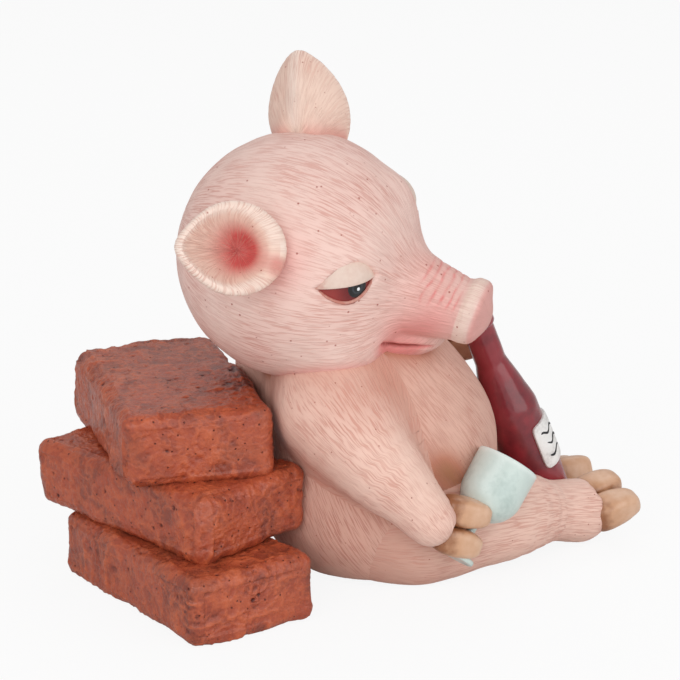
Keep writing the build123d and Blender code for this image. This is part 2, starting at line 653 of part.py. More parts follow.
def brick_pin(seam, end, grow=0.0):
    """One pin across a seam of the stack: seam counts from the bottom, end is -1 or 1."""
    back = -(BELLY_R + BRICK_WIDTH * (BRICK_BACK_SHARES[seam] + BRICK_BACK_SHARES[seam + 1]) / 2)
    left = BRICK_LENGTH * (BRICK_SIDE_SHARES[seam] + BRICK_SIDE_SHARES[seam + 1]) / 2
    height = (seam + 1) * (BRICK_HEIGHT + GLUE_GAP) - GLUE_GAP / 2
    middle = Pos(back, left + end * BRICK_PIN_SPACING / 2, height)
    return middle * Cylinder(BRICK_PIN_R + grow, BRICK_PIN_LENGTH + 2 * grow)


def brick(index):
    """A brick with holes for the pins of the seams above and below it."""
    solid = brick_body(index)
    for seam in (index - 1, index):
        if 0 <= seam < len(BRICK_NAMES) - 1:
            for end in (-1, 1):
                solid -= brick_pin(seam, end, DOWEL_CLEARANCE)
    return solid


def brick_pins():
    """All the pins of the stack, as separate solids."""
    seams = range(len(BRICK_NAMES) - 1)
    return Compound([brick_pin(seam, end).solid() for seam in seams for end in (-1, 1)])


def sub_parts():
    """Every piece of the figure by its name."""
    pieces = {
        "torso": torso(),
        "head": head(),
        "neck_dowel": neck_dowel(),
        "bottle": bottle_body(),
        "bottle_label": bottle_label(),
        "glass_bowl": glass_bowl(),
        "glass_foot": glass_foot(),
        "brick_pins": brick_pins(),
    }
    for side, name in ((-1, "right"), (1, "left")):
        pieces[f"{name}_ear"] = ear(side)
        pieces[f"{name}_eyeball"] = eyeball(side)
        pieces[f"{name}_eyelid"] = eyelid(side)
        pieces[f"{name}_arm"] = arm(side)
        pieces[f"{name}_leg"] = leg(side)
        pieces[f"{name}_fore_hooves"] = fore_hooves(side)
        pieces[f"{name}_hind_hooves"] = hooves(foot_plane(side), hind_hoof_size())
    for index, name in enumerate(BRICK_NAMES):
        pieces[name] = brick(index)
    return pieces


os.makedirs("parts", exist_ok=True)
for node, shape in sub_parts().items():
    export_step(shape, f"parts/{node}.step")
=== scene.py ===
"""Looks of a painted cast-resin pig ornament that leans back on bricks with a bottle and a wine glass.

Sizes are millimetres in the figure's own frame: +X is the way the pig sits facing, +Y its left, +Z up.
Every piece is a closed surface worked out with numpy, over the solid that it stands for.
"""

import functools
import logging
from dataclasses import dataclass
from enum import Enum
from typing import Callable

import bpy
import numpy as np
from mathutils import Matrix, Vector


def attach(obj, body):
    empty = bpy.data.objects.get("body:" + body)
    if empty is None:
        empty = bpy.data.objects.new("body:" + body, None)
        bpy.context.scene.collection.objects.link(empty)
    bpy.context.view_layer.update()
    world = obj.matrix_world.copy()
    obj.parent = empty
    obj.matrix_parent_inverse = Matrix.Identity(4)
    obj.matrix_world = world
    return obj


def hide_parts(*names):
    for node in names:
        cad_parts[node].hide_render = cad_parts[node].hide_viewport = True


Array = np.ndarray
Field = Callable[[Array], Array]
Pair = tuple[float, float]
Triple = tuple[float, float, float]
Span = tuple[float, float, float, float]  # from low, from high, to low, to high

LOG = logging.getLogger("pig")
METRES = 0.001  # metres in a millimetre
TINY = 1e-9  # keeps a division from meeting zero

# Large odd numbers and shifts that scramble a whole-number point into a fixed random word.
HASH_PRIMES = (73856093, 19349663, 83492791)
SEED_PRIME = 6542989
HASH_ROUNDS = ((13, 1274126177), (15, 668265263))
WORD = 0xFFFFFFFF
HALF_WORD = 0xFFFF
HASH_DROP = 8
DIMPLE_JITTER = 0.45

# The sRGB curve: straight up to the knee, then a power.
SRGB_KNEE = 0.04045
SRGB_SLOPE = 12.92
SRGB_LIFT = 0.055
SRGB_POWER = 2.4

# Sockets that are set together: a Map Range node's ends, and a Mix node's share and two colours.
RANGE = ("From Min", "From Max", "To Min", "To Max")
MIX = (0, 6, 7)
MIX_COLOUR = 2

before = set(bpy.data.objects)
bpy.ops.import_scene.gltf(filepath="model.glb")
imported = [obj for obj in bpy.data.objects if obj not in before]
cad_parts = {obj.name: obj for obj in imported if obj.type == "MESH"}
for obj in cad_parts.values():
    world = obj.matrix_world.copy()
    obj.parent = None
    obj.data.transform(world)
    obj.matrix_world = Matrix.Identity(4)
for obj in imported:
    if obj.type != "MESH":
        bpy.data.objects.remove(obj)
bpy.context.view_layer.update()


class Side(Enum):
    """The pig's own right and left, as the sign of Y."""

    RIGHT = -1
    LEFT = 1

    @property
    def word(self) -> str:
        """The side's name at the front of a node's name."""
        return self.name.lower()


def unit(vectors: Array) -> Array:
    """Vectors divided by their lengths."""
    vectors = np.asarray(vectors, float)
    return vectors / np.maximum(np.linalg.norm(vectors, axis=-1, keepdims=True), TINY)


def turn(yaw: float, pitch: float, roll: float) -> Array:
    """A turning matrix: roll about X, then pitch about Y, then yaw about Z.

    Args:
        yaw: degrees about Z.
        pitch: degrees about Y.
        roll: degrees about X.

    Returns:
        The matrix whose columns are the turned axes.
    """
    (cy, sy), (cp, sp), (cr, sr) = [(np.cos(a), np.sin(a)) for a in np.radians([yaw, pitch, roll])]
    about_z = np.array([[cy, -sy, 0], [sy, cy, 0], [0, 0, 1]])
    about_y = np.array([[cp, 0, sp], [0, 1, 0], [-sp, 0, cp]])
    about_x = np.array([[1, 0, 0], [0, cr, -sr], [0, sr, cr]])
    return about_z @ about_y @ about_x


def axes(along: Array, across: Array) -> Array:
    """A frame with Z along one way and X as near as it can be to another.

    Args:
        along: the way that Z points.
        across: the way that X leans to.

    Returns:
        A matrix whose columns are X, Y and Z.
    """
    z = unit(along)
    x = unit(np.asarray(across, float) - np.dot(across, z) * z)
    return np.stack([x, np.cross(z, x), z], axis=1)


def ease(values: Array, low: float, high: float) -> Array:
    """A smooth step from 0 at low to 1 at high."""
    share = np.clip((values - low) / (high - low), 0, 1)
    return share * share * (3 - 2 * share)


def window(values: Array, rise: Pair, fall: Pair) -> Array:
    """1 between a smooth step up and a smooth step down, 0 outside them."""
    return ease(values, *rise) * (1 - ease(values, *fall))


def bell(away: Array, width: float) -> Array:
    """1 where the distance is zero, fading out over the width."""
    return np.exp(-((away / width) ** 2))


def around(columns: int) -> Array:
    """Angles of the columns of a closed grid."""
    return np.linspace(0, 2 * np.pi, columns, endpoint=False)


def squared(angle: Array, power: float) -> Array:
    """Reach of a rounded square of half-width 1 at each angle, its corners sharper at a higher power."""
    return (np.abs(np.cos(angle)) ** power + np.abs(np.sin(angle)) ** power) ** (-1 / power)


def folded(p: Array, side: Side) -> Array:
    """Points folded over the plane of X and Z on to one side."""
    return np.stack([p[..., 0], side.value * np.abs(p[..., 1]), p[..., 2]], axis=-1)


def smooth_path(points: Array, count: int) -> Array:
    """Points along a curve through given points, each run a cubic whose ends aim at the neighbours.

    Args:
        points: the rows to pass through, of any width.
        count: how many rows to return.

    Returns:
        The rows, evenly spaced in the run's own parameter.
    """
    points = np.asarray(points, float)
    padded = np.concatenate([2 * points[:1] - points[1:2], points, 2 * points[-1:] - points[-2:-1]])
    at = np.linspace(0, len(points) - 1, count)
    run = np.minimum(at.astype(int), len(points) - 2)
    t = (at - run)[:, None]
    a, b, c, d = (padded[run + step] for step in range(4))
    return b + t / 2 * (c - a + t * (2 * a - 5 * b + 4 * c - d + t * (3 * (b - c) + d - a)))


def resampled(line: Array, count: int) -> Array:
    """Points spaced evenly along a line.

    Args:
        line: the line's own points, of any width.
        count: how many points to return.

    Returns:
        The points.
    """
    lengths = np.concatenate([[0], np.cumsum(np.linalg.norm(np.diff(line, axis=0), axis=1))])
    at = np.linspace(0, lengths[-1], count)
    return np.stack([np.interp(at, lengths, column) for column in line.T], axis=1)


def scatter(cells: Array, seed: int) -> Array:
    """A fixed random number from -1 to 1 for each whole-number point of space.

    Args:
        cells: the points.
        seed: picks one of many patterns.

    Returns:
        One number for each point.
    """
    mixed = np.bitwise_xor.reduce(cells * np.array(HASH_PRIMES), axis=-1) ^ (seed * SEED_PRIME)
    for shift, factor in HASH_ROUNDS:
        mixed = ((mixed ^ (mixed >> shift)) * factor) & WORD
    return ((mixed >> HASH_DROP) & HALF_WORD) / (HALF_WORD / 2) - 1


def lattice_noise(places: Array, seed: int) -> Array:
    """Soft random values from -1 to 1, eased between fixed numbers at whole-number points.

    Args:
        places: points, already divided by the size of a lump.
        seed: picks one of many patterns.

    Returns:
        One value for each point.
    """
    cells = np.floor(places).astype(np.int64)
    part = places - cells
    eased = part**3 * (part * (part * 6 - 15) + 10)
    total = np.zeros(places.shape[:-1])
    for corner in np.ndindex(2, 2, 2):
        weight = np.prod(np.where(np.array(corner) == 1, eased, 1 - eased), axis=-1)
        total += weight * scatter(cells + np.array(corner), seed)
    return total


def layered_noise(places: Array, seed: int, layers: int) -> Array:
    """Noise on noise: each layer has lumps half as wide and half as high as the one before."""
    return sum(lattice_noise(places * 2**n, seed + n) / 2**n for n in range(layers))


def dimples(places: Array, seed: int) -> Array:
    """Distance from each place to the nearest of many scattered points, one in each unit cube.

    Args:
        places: points, already divided by the spacing of the scattered points.
        seed: picks one of many patterns.

    Returns:
        The distances, in that spacing.
    """
    cells = np.floor(places).astype(np.int64)
    nearest = np.full(places.shape[:-1], np.inf)
    for step in np.ndindex(3, 3, 3):
        at = cells + np.array(step) - 1
        jitter = np.stack([scatter(at, seed + axis) for axis in range(3)], axis=-1) * DIMPLE_JITTER
        nearest = np.minimum(nearest, np.linalg.norm(at + jitter + 0.5 - places, axis=-1))
    return nearest


@dataclass(frozen=True)
class Lumps:
    """Soft random lumps: how high, how wide and which pattern."""

    high: float
    wide: float
    seed: int

    def on(self, points: Array, more: int = 0) -> Array:
        """Their height at each point, of a pattern that many numbers on."""
        return self.high * lattice_noise(points / self.wide, self.seed + more)


def ball(p: Array, middle: Array, radius: float) -> Array:
    """Distance outside a ball."""
    return np.linalg.norm(p - np.asarray(middle, float), axis=-1) - radius


def egg(p: Array, middle: Array, radii: Array) -> Array:
    """Distance outside an egg of three radii, near enough close to its skin.

    Args:
        p: points.
        middle: the egg's centre.
        radii: its three radii.

    Returns:
        One distance for each point, negative inside.
    """
    radii = np.asarray(radii, float)
    local = (p - np.asarray(middle, float)) / radii
    length = np.linalg.norm(local, axis=-1)
    slope = np.linalg.norm(local / radii, axis=-1)
    return length * (length - 1) / np.maximum(slope, TINY)


def bone(p: Array, points: Array, radii: Array) -> Array:
    """Distance outside a chain of rods whose thickness runs evenly from point to point.

    Args:
        p: points.
        points: the chain's joints.
        radii: the radius at each joint.

    Returns:
        One distance for each point, negative inside.
    """
    nearest = np.full(p.shape[:-1], np.inf)
    for a, b, thick, thin in zip(points[:-1], points[1:], radii[:-1], radii[1:]):
        span = b - a
        share = np.clip(((p - a) @ span) / (span @ span), 0, 1)
        reach = np.linalg.norm(p - a - share[..., None] * span, axis=-1)
        nearest = np.minimum(nearest, reach - (thick + share * (thin - thick)))
    return nearest


def soft_union(a: Array, b: Array, fillet: Array) -> Array:
    """The nearer of two distances, with a fillet of the given width where they meet."""
    share = np.clip(0.5 + 0.5 * (b - a) / fillet, 0, 1)
    return b + (a - b) * share - fillet * share * (1 - share)


def soft_cut(a: Array, b: Array, fillet: float) -> Array:
    """The farther of two distances, with a rounded edge of the given width."""
    return -soft_union(-a, -b, fillet)


def grid_normals(points: Array) -> Array:
    """Unit normals of a closed grid, from the differences between neighbours.

    Args:
        points: the grid.

    Returns:
        Vectors that point outwards.
    """
    down = np.gradient(points, axis=0)
    round_ = np.roll(points, -1, axis=1) - np.roll(points, 1, axis=1)
    normals = unit(np.cross(round_, down))
    outward = np.sum(normals * (points - points.mean(axis=(0, 1))), axis=-1).mean()
    return normals * np.sign(outward)


def pushed(grid: Array, shift: Array) -> Array:
    """The grid moved along its normals."""
    return grid + shift[..., None] * grid_normals(grid)


def calm_poles(values: Array, rows: int = 2) -> Array:
    """A grid's values with the rows at both poles set to zero."""
    at = np.arange(len(values))
    return values * ((at >= rows) & (at < len(values) - rows))[:, None]


def lengths_down(points: Array) -> Array:
    """Mean length of skin from the first row of a grid to each row."""
    steps = np.linalg.norm(np.diff(points, axis=0), axis=-1).mean(axis=1)
    return np.concatenate([[0], np.cumsum(steps)])


@dataclass
class Sleeve:
    """Rays from a spine: a fan at each end and spokes between, on a grid of rows and columns.

    The skin point of a ray is where a field's distance comes to zero, found by stepping outward by most of
    the distance that is left.
    """

    spine: Array
    rows: tuple[int, int, int]
    columns: int
    reach: float
    up: Triple = (0.0, 0.0, 1.0)
    steps: int = 48
    stride: float = 0.9

    def rays(self) -> tuple[Array, Array]:
        """Start and way of every ray.

        Returns:
            Two grids of points and unit vectors.
        """
        middle = resampled(self.spine, self.rows[1])
        along = unit(np.gradient(middle, axis=0))
        level = unit(np.cross(np.array(self.up), along))
        upright = np.cross(along, level)
        angles = around(self.columns)[None, :, None]
        spokes = np.cos(angles) * level[:, None] + np.sin(angles) * upright[:, None]
        fans = []
        for end, sign, count in ((0, -1, self.rows[0]), (-1, 1, self.rows[2])):
            lean = np.linspace(0, np.pi / 2, count + 1)[:-1, None, None]
            fan = sign * np.cos(lean) * along[end] + np.sin(lean) * spokes[end]
            fans.append(fan if end == 0 else fan[::-1])
        ways = np.concatenate([fans[0], spokes, fans[1]])
        starts = np.concatenate(
            [np.repeat(middle[:1], self.rows[0], 0), middle, np.repeat(middle[-1:], self.rows[2], 0)]
        )
        return np.broadcast_to(starts[:, None], ways.shape), ways

    def solve(self, skin: Field) -> Array:
        """Skin points of every ray.

        Args:
            skin: distance outside the form, negative inside.

        Returns:
            A grid of points.
        """
        starts, ways = self.rays()
        out = np.zeros(ways.shape[:2])
        for _ in range(self.steps):
            out = np.minimum(out - self.stride * skin(starts + out[..., None] * ways), self.reach)
        return starts + out[..., None] * ways


def weld(values: Array) -> Array:
    """A grid's values as one row each, where the first and the last row are a single pole."""
    middle = values[1:-1].reshape(-1, *values.shape[2:])
    return np.concatenate([values[:1].mean(axis=1), middle, values[-1:].mean(axis=1)])


def grid_faces(rows: int, columns: int) -> tuple[Array, Array]:
    """Corner numbers of a closed grid with a pole at each end.

    Args:
        rows: rows of the grid, poles included.
        columns: columns of the grid.

    Returns:
        The four-sided faces and the three-sided ones at the poles.
    """
    here = np.arange(columns)
    beside = (here + 1) % columns
    first = 1 + np.arange(rows - 3)[:, None] * columns
    below = first + columns
    quads = np.stack([first + here, first + beside, below + beside, below + here], axis=-1)
    last = 1 + (rows - 3) * columns
    pole = np.zeros(columns, int)
    top = np.stack([pole, 1 + beside, 1 + here], axis=-1)
    bottom = np.stack([pole + last + columns, last + here, last + beside], axis=-1)
    return quads.reshape(-1, 4), np.concatenate([top, bottom])


def signed_volume(points: Array, quads: Array, triangles: Array) -> float:
    """Volume that the faces enclose, negative if they face inwards.

    Args:
        points: the corners' places.
        quads: corner numbers of the four-sided faces.
        triangles: corner numbers of the three-sided faces.

    Returns:
        The volume.
    """
    halves = np.concatenate([quads[:, [0, 1, 2]], quads[:, [0, 2, 3]], triangles])
    a, b, c = (points[halves[:, k]] for k in range(3))
    return float(np.sum(a * np.cross(b, c)) / 6)


def closed_mesh(name: str, grid: Array, marks: dict[str, Array]) -> bpy.types.Mesh:
    """A smooth closed mesh from a grid of points, with its marks as attributes.

    Args:
        name: name of the mesh.
        grid: points in millimetres, whose first and last rows close to poles.
        marks: values on the same grid, of one or three numbers each.

    Returns:
        The mesh, in metres, facing outwards.
    """
    points = weld(grid)
    quads, triangles = grid_faces(*grid.shape[:2])
    if signed_volume(points - points.mean(axis=0), quads, triangles) < 0:
        quads, triangles = quads[:, ::-1], triangles[:, ::-1]
    mesh = bpy.data.meshes.new(name)
    corners = np.concatenate([quads.ravel(), triangles.ravel()])
    sizes = np.concatenate([np.full(len(quads), 4), np.full(len(triangles), 3)])
    mesh.vertices.add(len(points))
    mesh.loops.add(len(corners))
    mesh.polygons.add(len(sizes))
    mesh.vertices.foreach_set("co", (points * METRES).astype(np.float32).ravel())
    mesh.loops.foreach_set("vertex_index", corners.astype(np.int32))
    mesh.polygons.foreach_set("loop_start", (np.cumsum(sizes) - sizes).astype(np.int32))
    mesh.polygons.foreach_set("loop_total", sizes.astype(np.int32))
    mesh.polygons.foreach_set("use_smooth", np.ones(len(sizes), bool))
    for mark, values in marks.items():
        flat = weld(values).astype(np.float32)
        kind, key = ("FLOAT_VECTOR", "vector") if flat.ndim == 2 else ("FLOAT", "value")
        mesh.attributes.new(mark, kind, "POINT").data.foreach_set(key, flat.ravel())
    mesh.update()
    mesh.validate()
    return mesh


def new_object(name: str, data: bpy.types.ID) -> bpy.types.Object:
    """A new object in the scene.

    Args:
        name: name of the object.
        data: its mesh, lamp or camera.

    Returns:
        The object, at the origin.
    """
    made = bpy.data.objects.new(name, data)
    bpy.context.scene.collection.objects.link(made)
    return made


def paint(code: str) -> Span:
    """A colour written as sRGB hex, turned to linear with full alpha.

    Args:
        code: a hash sign and six digits.

    Returns:
        Red, green, blue and alpha.
    """
    shares = np.array([int(code[at : at + 2], 16) for at in (1, 3, 5)]) / 255
    curved = ((shares + SRGB_LIFT) / (1 + SRGB_LIFT)) ** SRGB_POWER
    linear = np.where(shares <= SRGB_KNEE, shares / SRGB_SLOPE, curved)
    return (*linear.tolist(), 1.0)


def add_node(
    tree: bpy.types.NodeTree, kind: str, links: dict | None = None, out: int | str = 0, **settings: object
) -> bpy.types.NodeSocket | None:
    """Adds a node with its settings, and its sockets linked or set.

    Args:
        tree: the tree that it joins.
        kind: Blender's name for the node, without the ShaderNode at its front.
        links: a socket or a row of sockets, to another node's output, a value or a row of these.
        out: the output that is wanted.
        settings: the node's own properties.

    Returns:
        That output, or nothing from a node without outputs.
    """
    node = tree.nodes.new(f"ShaderNode{kind}")
    for name, value in settings.items():
        setattr(node, name, value)
    for key, given in (links or {}).items():
        for socket, value in zip(key, given) if isinstance(key, tuple) else ((key, given),):
            if isinstance(value, bpy.types.NodeSocket):
                tree.links.new(value, node.inputs[socket])
            else:
                node.inputs[socket].default_value = value
    return node.outputs[out] if len(node.outputs) else None


def painted_over(tree: bpy.types.NodeTree, ground: object, layers: tuple) -> object:
    """The colour that is left after layers of paint, each mixed over the last by its own share.

    Args:
        tree: the tree that the layers join.
        ground: the colour below them all.
        layers: a share and a colour in sRGB hex for each layer.

    Returns:
        The last layer's output.
    """
    for share, code in layers:
        ground = add_node(tree, "Mix", {MIX: (share, ground, paint(code))}, MIX_COLOUR, data_type="RGBA")
    return ground


def blank_material(name: str) -> tuple[bpy.types.Material, bpy.types.NodeTree]:
    """A new material with an empty tree.

    Args:
        name: name of the real material.

    Returns:
        The material and its tree.
    """
    material = bpy.data.materials.new(name)
    material.use_nodes = True
    material.node_tree.nodes.clear()
    return material, material.node_tree


def add_surface(tree: bpy.types.NodeTree, sockets: dict) -> None:
    """Adds the shader, with its sockets linked or set, and wires it to the material's output."""
    add_node(tree, "OutputMaterial", {"Surface": add_node(tree, "BsdfPrincipled", sockets)})


def per_metre(millimetres: float) -> float:
    """Scale of a pattern on Object coordinates whose lumps are that many millimetres wide."""
    return 1 / (millimetres * METRES)


@dataclass(frozen=True)
class PaintedSkin:
    """Cast polyresin with engraved hair, sprayed cream and pink and wiped with a darker wash.

    It gives the eye a chalky, nearly matt ground with thin red lines where the wash stays in the
    engraving, and a few dark freckles. The piece's blush mark runs from -1, brushed pale, through 0, plain,
    and 1, the blush colour, to 2, a dark line. That colour and mark carry airbrushed pink and also painted
    shade: along the creases where pieces meet, under the chin and behind the wine glass.
    """

    name: str
    cream: str = "#EFD4C9"
    pink: str = "#E9BDB3"
    line: str = "#CF9184"
    blush_and_shade: str = "#E48A86"
    pale: str = "#EED5C7"
    ink: str = "#96382F"
    freckle: str = "#A04434"
    patch_mm: float = 14.0
    patch_detail: float = 3.0
    grain_mm: float = 0.7
    grain_detail: float = 2.0
    grain_share: float = 0.25
    freckle_mm: float = 2.9
    freckle_r_mm: float = 0.34
    freckle_core: float = 0.4
    freckle_cover: float = 0.85
    line_span: Span = (0.47, 0.63, 0.0, 1.0)
    worn_span: Span = (0.38, 0.62, 0.25, 0.7)
    pale_span: Span = (0.0, -1.0, 0.0, 1.0)
    blush_span: Span = (0.0, 1.0, 0.0, 1.0)
    ink_span: Span = (1.0, 2.0, 0.0, 1.0)
    bump_mm: float = 0.12
    bump_strength: float = 0.55
    roughness: float = 0.5
    shine: float = 0.35

    def material(self) -> bpy.types.Material:
        """The finish as nodes on Object coordinates, the comb mark and the blush-and-shade mark.

        Returns:
            The material.
        """
        material, tree = blank_material(self.name)
        place = add_node(tree, "TexCoord", out="Object")
        comb = add_node(tree, "Attribute", out="Vector", attribute_name="comb")
        mark = add_node(tree, "Attribute", out="Fac", attribute_name="blush_and_shade")
        patch, grain = (
            add_node(tree, "TexNoise", {"Vector": place, "Scale": per_metre(size), "Detail": detail})
            for size, detail in ((self.patch_mm, self.patch_detail), (self.grain_mm, self.grain_detail))
        )
        hair = add_node(tree, "TexNoise", {"Vector": comb, "Scale": 1.0, "Detail": 1.0})
        lines = add_node(
            tree, "MapRange", {"Value": hair, RANGE: self.line_span}, interpolation_type="SMOOTHSTEP"
        )
        cells = add_node(tree, "TexVoronoi", {"Vector": place, "Scale": per_metre(self.freckle_mm)})
        edge = self.freckle_r_mm / self.freckle_mm
        freckle_span = (edge * self.freckle_core, edge, self.freckle_cover, 0.0)
        worn, freckles, pale, blush_and_shade, inked = (
            add_node(tree, "MapRange", {"Value": value, RANGE: span})
            for value, span in (
                (patch, self.worn_span), (cells, freckle_span), (mark, self.pale_span),
                (mark, self.blush_span), (mark, self.ink_span),
            )
        )
        wash = add_node(tree, "Math", {0: lines, 1: worn}, operation="MULTIPLY")
        layers = (
            (patch, self.pink), (pale, self.pale), (blush_and_shade, self.blush_and_shade), (wash, self.line),
            (inked, self.ink), (freckles, self.freckle),
        )
        colour = painted_over(tree, paint(self.cream), layers)
        rough = {0: grain, 1: self.grain_share, 2: lines}
        height = add_node(tree, "Math", rough, operation="MULTIPLY_ADD")
        sunk = add_node(tree, "Math", {0: height, 1: freckles}, operation="ADD")
        cut = {"Height": sunk, "Strength": self.bump_strength, "Distance": self.bump_mm * METRES}
        bump = add_node(tree, "Bump", cut, invert=True)
        sockets = {"Roughness": self.roughness, "Specular IOR Level": self.shine}
        add_surface(tree, {"Base Color": colour, "Normal": bump, **sockets})
        return material


@dataclass(frozen=True)
class PaintedRelief:
    """Cast polyresin whose paint is darker in its hollows: a base colour, a high colour and a low colour.

    It gives the eye a satin or matt coat, dry-brushed light on what stands up and dark in what is sunk,
    by the piece's own relief mark, with uneven patches. On the hooves that mark also carries painted shade,
    and on the wine glass a painted highlight along the rim.
    """

    name: str
    low: str
    base: str
    high: str
    patch: str
    patch_mm: float
    grain_mm: float
    roughness: float
    grain_height_mm: float
    coat: float = 0.0
    coat_roughness: float = 0.12
    patch_detail: float = 4.0
    grain_detail: float = 3.0
    grain_share: float = 0.9
    patch_span: Span = (0.5, 0.72, 0.0, 0.5)
    high_span: Span = (0.1, 0.9, 0.0, 1.0)
    low_span: Span = (-0.75, 0.0, 1.0, 0.0)
    bump_strength: float = 0.7

    def material(self) -> bpy.types.Material:
        """The finish as nodes on Object coordinates and the piece's own relief mark.

        Returns:
            The material.
        """
        material, tree = blank_material(self.name)
        place = add_node(tree, "TexCoord", out="Object")
        relief = add_node(tree, "Attribute", out="Fac", attribute_name="relief")
        patch, grain = (
            add_node(tree, "TexNoise", {"Vector": place, "Scale": per_metre(size), "Detail": detail})
            for size, detail in ((self.patch_mm, self.patch_detail), (self.grain_mm, self.grain_detail))
        )
        even = {0: grain, 1: self.grain_share, 2: -self.grain_share / 2}
        uneven = add_node(tree, "Math", even, operation="MULTIPLY_ADD")
        mark = add_node(tree, "Math", {0: relief, 1: uneven}, operation="ADD")
        spans = ((patch, self.patch_span), (mark, self.high_span), (mark, self.low_span))
        cloudy, proud, sunk = (
            add_node(tree, "MapRange", {"Value": value, RANGE: span}) for value, span in spans
        )
        layers = ((cloudy, self.patch), (proud, self.high), (sunk, self.low))
        colour = painted_over(tree, paint(self.base), layers)
        height = self.grain_height_mm * METRES
        bump = add_node(tree, "Bump", {"Height": grain, "Strength": self.bump_strength, "Distance": height})
        varnish = {"Coat Weight": self.coat, "Coat Roughness": self.coat_roughness}
        add_surface(tree, {"Base Color": colour, "Normal": bump, "Roughness": self.roughness, **varnish})
        return material


@dataclass(frozen=True)
class FiredClay:
    """Rough cast polyresin painted as fired clay and varnished thinly.

    It gives the eye an orange-brown ground with grey-brown clouds, light orange dry-brushing in wandering
    veins and on what stands up, maroon wash in pits and hollows, and a dull sheen on the grain. The same
    maroon is painted shade where the neck lies on the top brick.
    """

    name: str
    ground: str = "#A34A31"
    cloud: str = "#7D3D2E"
    vein: str = "#C3623D"
    wash: str = "#57190F"
    cloud_mm: float = 9.0
    cloud_bend: float = 0.4
    vein_mm: float = 5.5
    vein_bend: float = 0.8
    grain_mm: float = 0.8
    grain_share: float = 1.2
    detail: float = 4.0
    pit_mm: float = 2.3
    pit_r_mm: float = 0.3
    pit_core: float = 0.45
    cloud_span: Span = (0.46, 0.62, 0.0, 0.75)
    vein_span: Span = (0.0, 0.09, 0.5, 0.0)
    proud_span: Span = (0.1, 0.8, 0.0, 0.8)
    sunk_span: Span = (-0.25, -0.95, 0.0, 1.0)
    vein_rise: float = 0.5
    bump_mm: float = 0.3
    bump_strength: float = 0.8
    roughness: float = 0.34

    def material(self) -> bpy.types.Material:
        """The finish as nodes on Object coordinates and the piece's own relief mark.

        Returns:
            The material.
        """
        material, tree = blank_material(self.name)
        place = add_node(tree, "TexCoord", out="Object")
        relief = add_node(tree, "Attribute", out="Fac", attribute_name="relief")
        kept = {"Vector": place, "Detail": self.detail}
        sizes = ((self.cloud_mm, self.cloud_bend), (self.vein_mm, self.vein_bend), (self.grain_mm, 0.0))
        cloud, vein, grain = (
            add_node(tree, "TexNoise", {"Scale": per_metre(size), "Distortion": bend, **kept})
            for size, bend in sizes
        )
        cells = add_node(tree, "TexVoronoi", {"Vector": place, "Scale": per_metre(self.pit_mm)})
        edge = self.pit_r_mm / self.pit_mm
        level = add_node(tree, "Math", {0: vein, 1: 0.5}, operation="SUBTRACT")
        away = add_node(tree, "Math", {0: level}, operation="ABSOLUTE")
        even = {0: grain, 1: self.grain_share, 2: -self.grain_share / 2}
        uneven = add_node(tree, "Math", even, operation="MULTIPLY_ADD")
        mark = add_node(tree, "Math", {0: relief, 1: uneven}, operation="ADD")
        clouds, veins, proud, sunk, pits = (
            add_node(tree, "MapRange", {"Value": value, RANGE: span})
            for value, span in (
                (cloud, self.cloud_span), (away, self.vein_span), (mark, self.proud_span),
                (mark, self.sunk_span), (cells, (edge * self.pit_core, edge, 1.0, 0.0)),
            )
        )
        layers = (
            (clouds, self.cloud), (veins, self.vein), (proud, self.vein), (sunk, self.wash),
            (pits, self.wash),
        )
        colour = painted_over(tree, paint(self.ground), layers)
        raised = add_node(tree, "Math", {0: veins, 1: self.vein_rise, 2: grain}, operation="MULTIPLY_ADD")
        height = add_node(tree, "Math", {0: raised, 1: pits}, operation="SUBTRACT")
        rise = {"Height": height, "Strength": self.bump_strength, "Distance": self.bump_mm * METRES}
        bump = add_node(tree, "Bump", rise)
        add_surface(tree, {"Base Color": colour, "Normal": bump, "Roughness": self.roughness})
        return material


@dataclass(frozen=True)
class EyeLacquer:
    """Eye painted on resin under gloss lacquer: dark red white of the eye, black iris, white glint dot.

    It gives the eye a wet shine. The rings follow the eyeball's own gaze mark, the distance from the
    middle of the iris in millimetres, and its glint mark, the distance from the painted dot.
    """

    name: str
    red: str = "#6A0C10"
    rim: str = "#93302B"
    iris: str = "#0B0A0C"
    ring: str = "#3A4148"
    glint: str = "#F4F6F8"
    iris_mm: float = 2.65
    glint_mm: float = 0.5
    red_edge: Pair = (2.3, 1.1)
    iris_edge: Pair = (1.0, 0.92)
    ring_edge: Pair = (0.62, 0.45)
    pupil_edge: Pair = (0.5, 0.38)
    glint_edge: Pair = (1.0, 0.8)
    roughness: float = 0.14
    coat: float = 0.2

    def material(self) -> bpy.types.Material:
        """The finish as discs, each laid on the last, with edges in shares of the iris or the glint.

        Returns:
            The material.
        """
        material, tree = blank_material(self.name)
        gaze, glint = (
            add_node(tree, "Attribute", out="Fac", attribute_name=name) for name in ("gaze", "glint")
        )
        discs = (
            (gaze, self.iris_mm, self.red_edge, self.red),
            (gaze, self.iris_mm, self.iris_edge, self.iris),
            (gaze, self.iris_mm, self.ring_edge, self.ring),
            (gaze, self.iris_mm, self.pupil_edge, self.iris),
            (glint, self.glint_mm, self.glint_edge, self.glint),
        )
        layers = []
        for mark, size, (outer, inner), code in discs:
            span = (size * outer, size * inner, 0.0, 1.0)
            layers.append((add_node(tree, "MapRange", {"Value": mark, RANGE: span}), code))
        colour = painted_over(tree, paint(self.rim), tuple(layers))
        add_surface(tree, {"Base Color": colour, "Roughness": self.roughness, "Coat Weight": self.coat})
        return material


Finish = PaintedSkin | PaintedRelief | FiredClay | EyeLacquer

# Cream face with pink patches and rust freckles.
HEAD_SKIN = PaintedSkin(name="painted_polyresin_face")
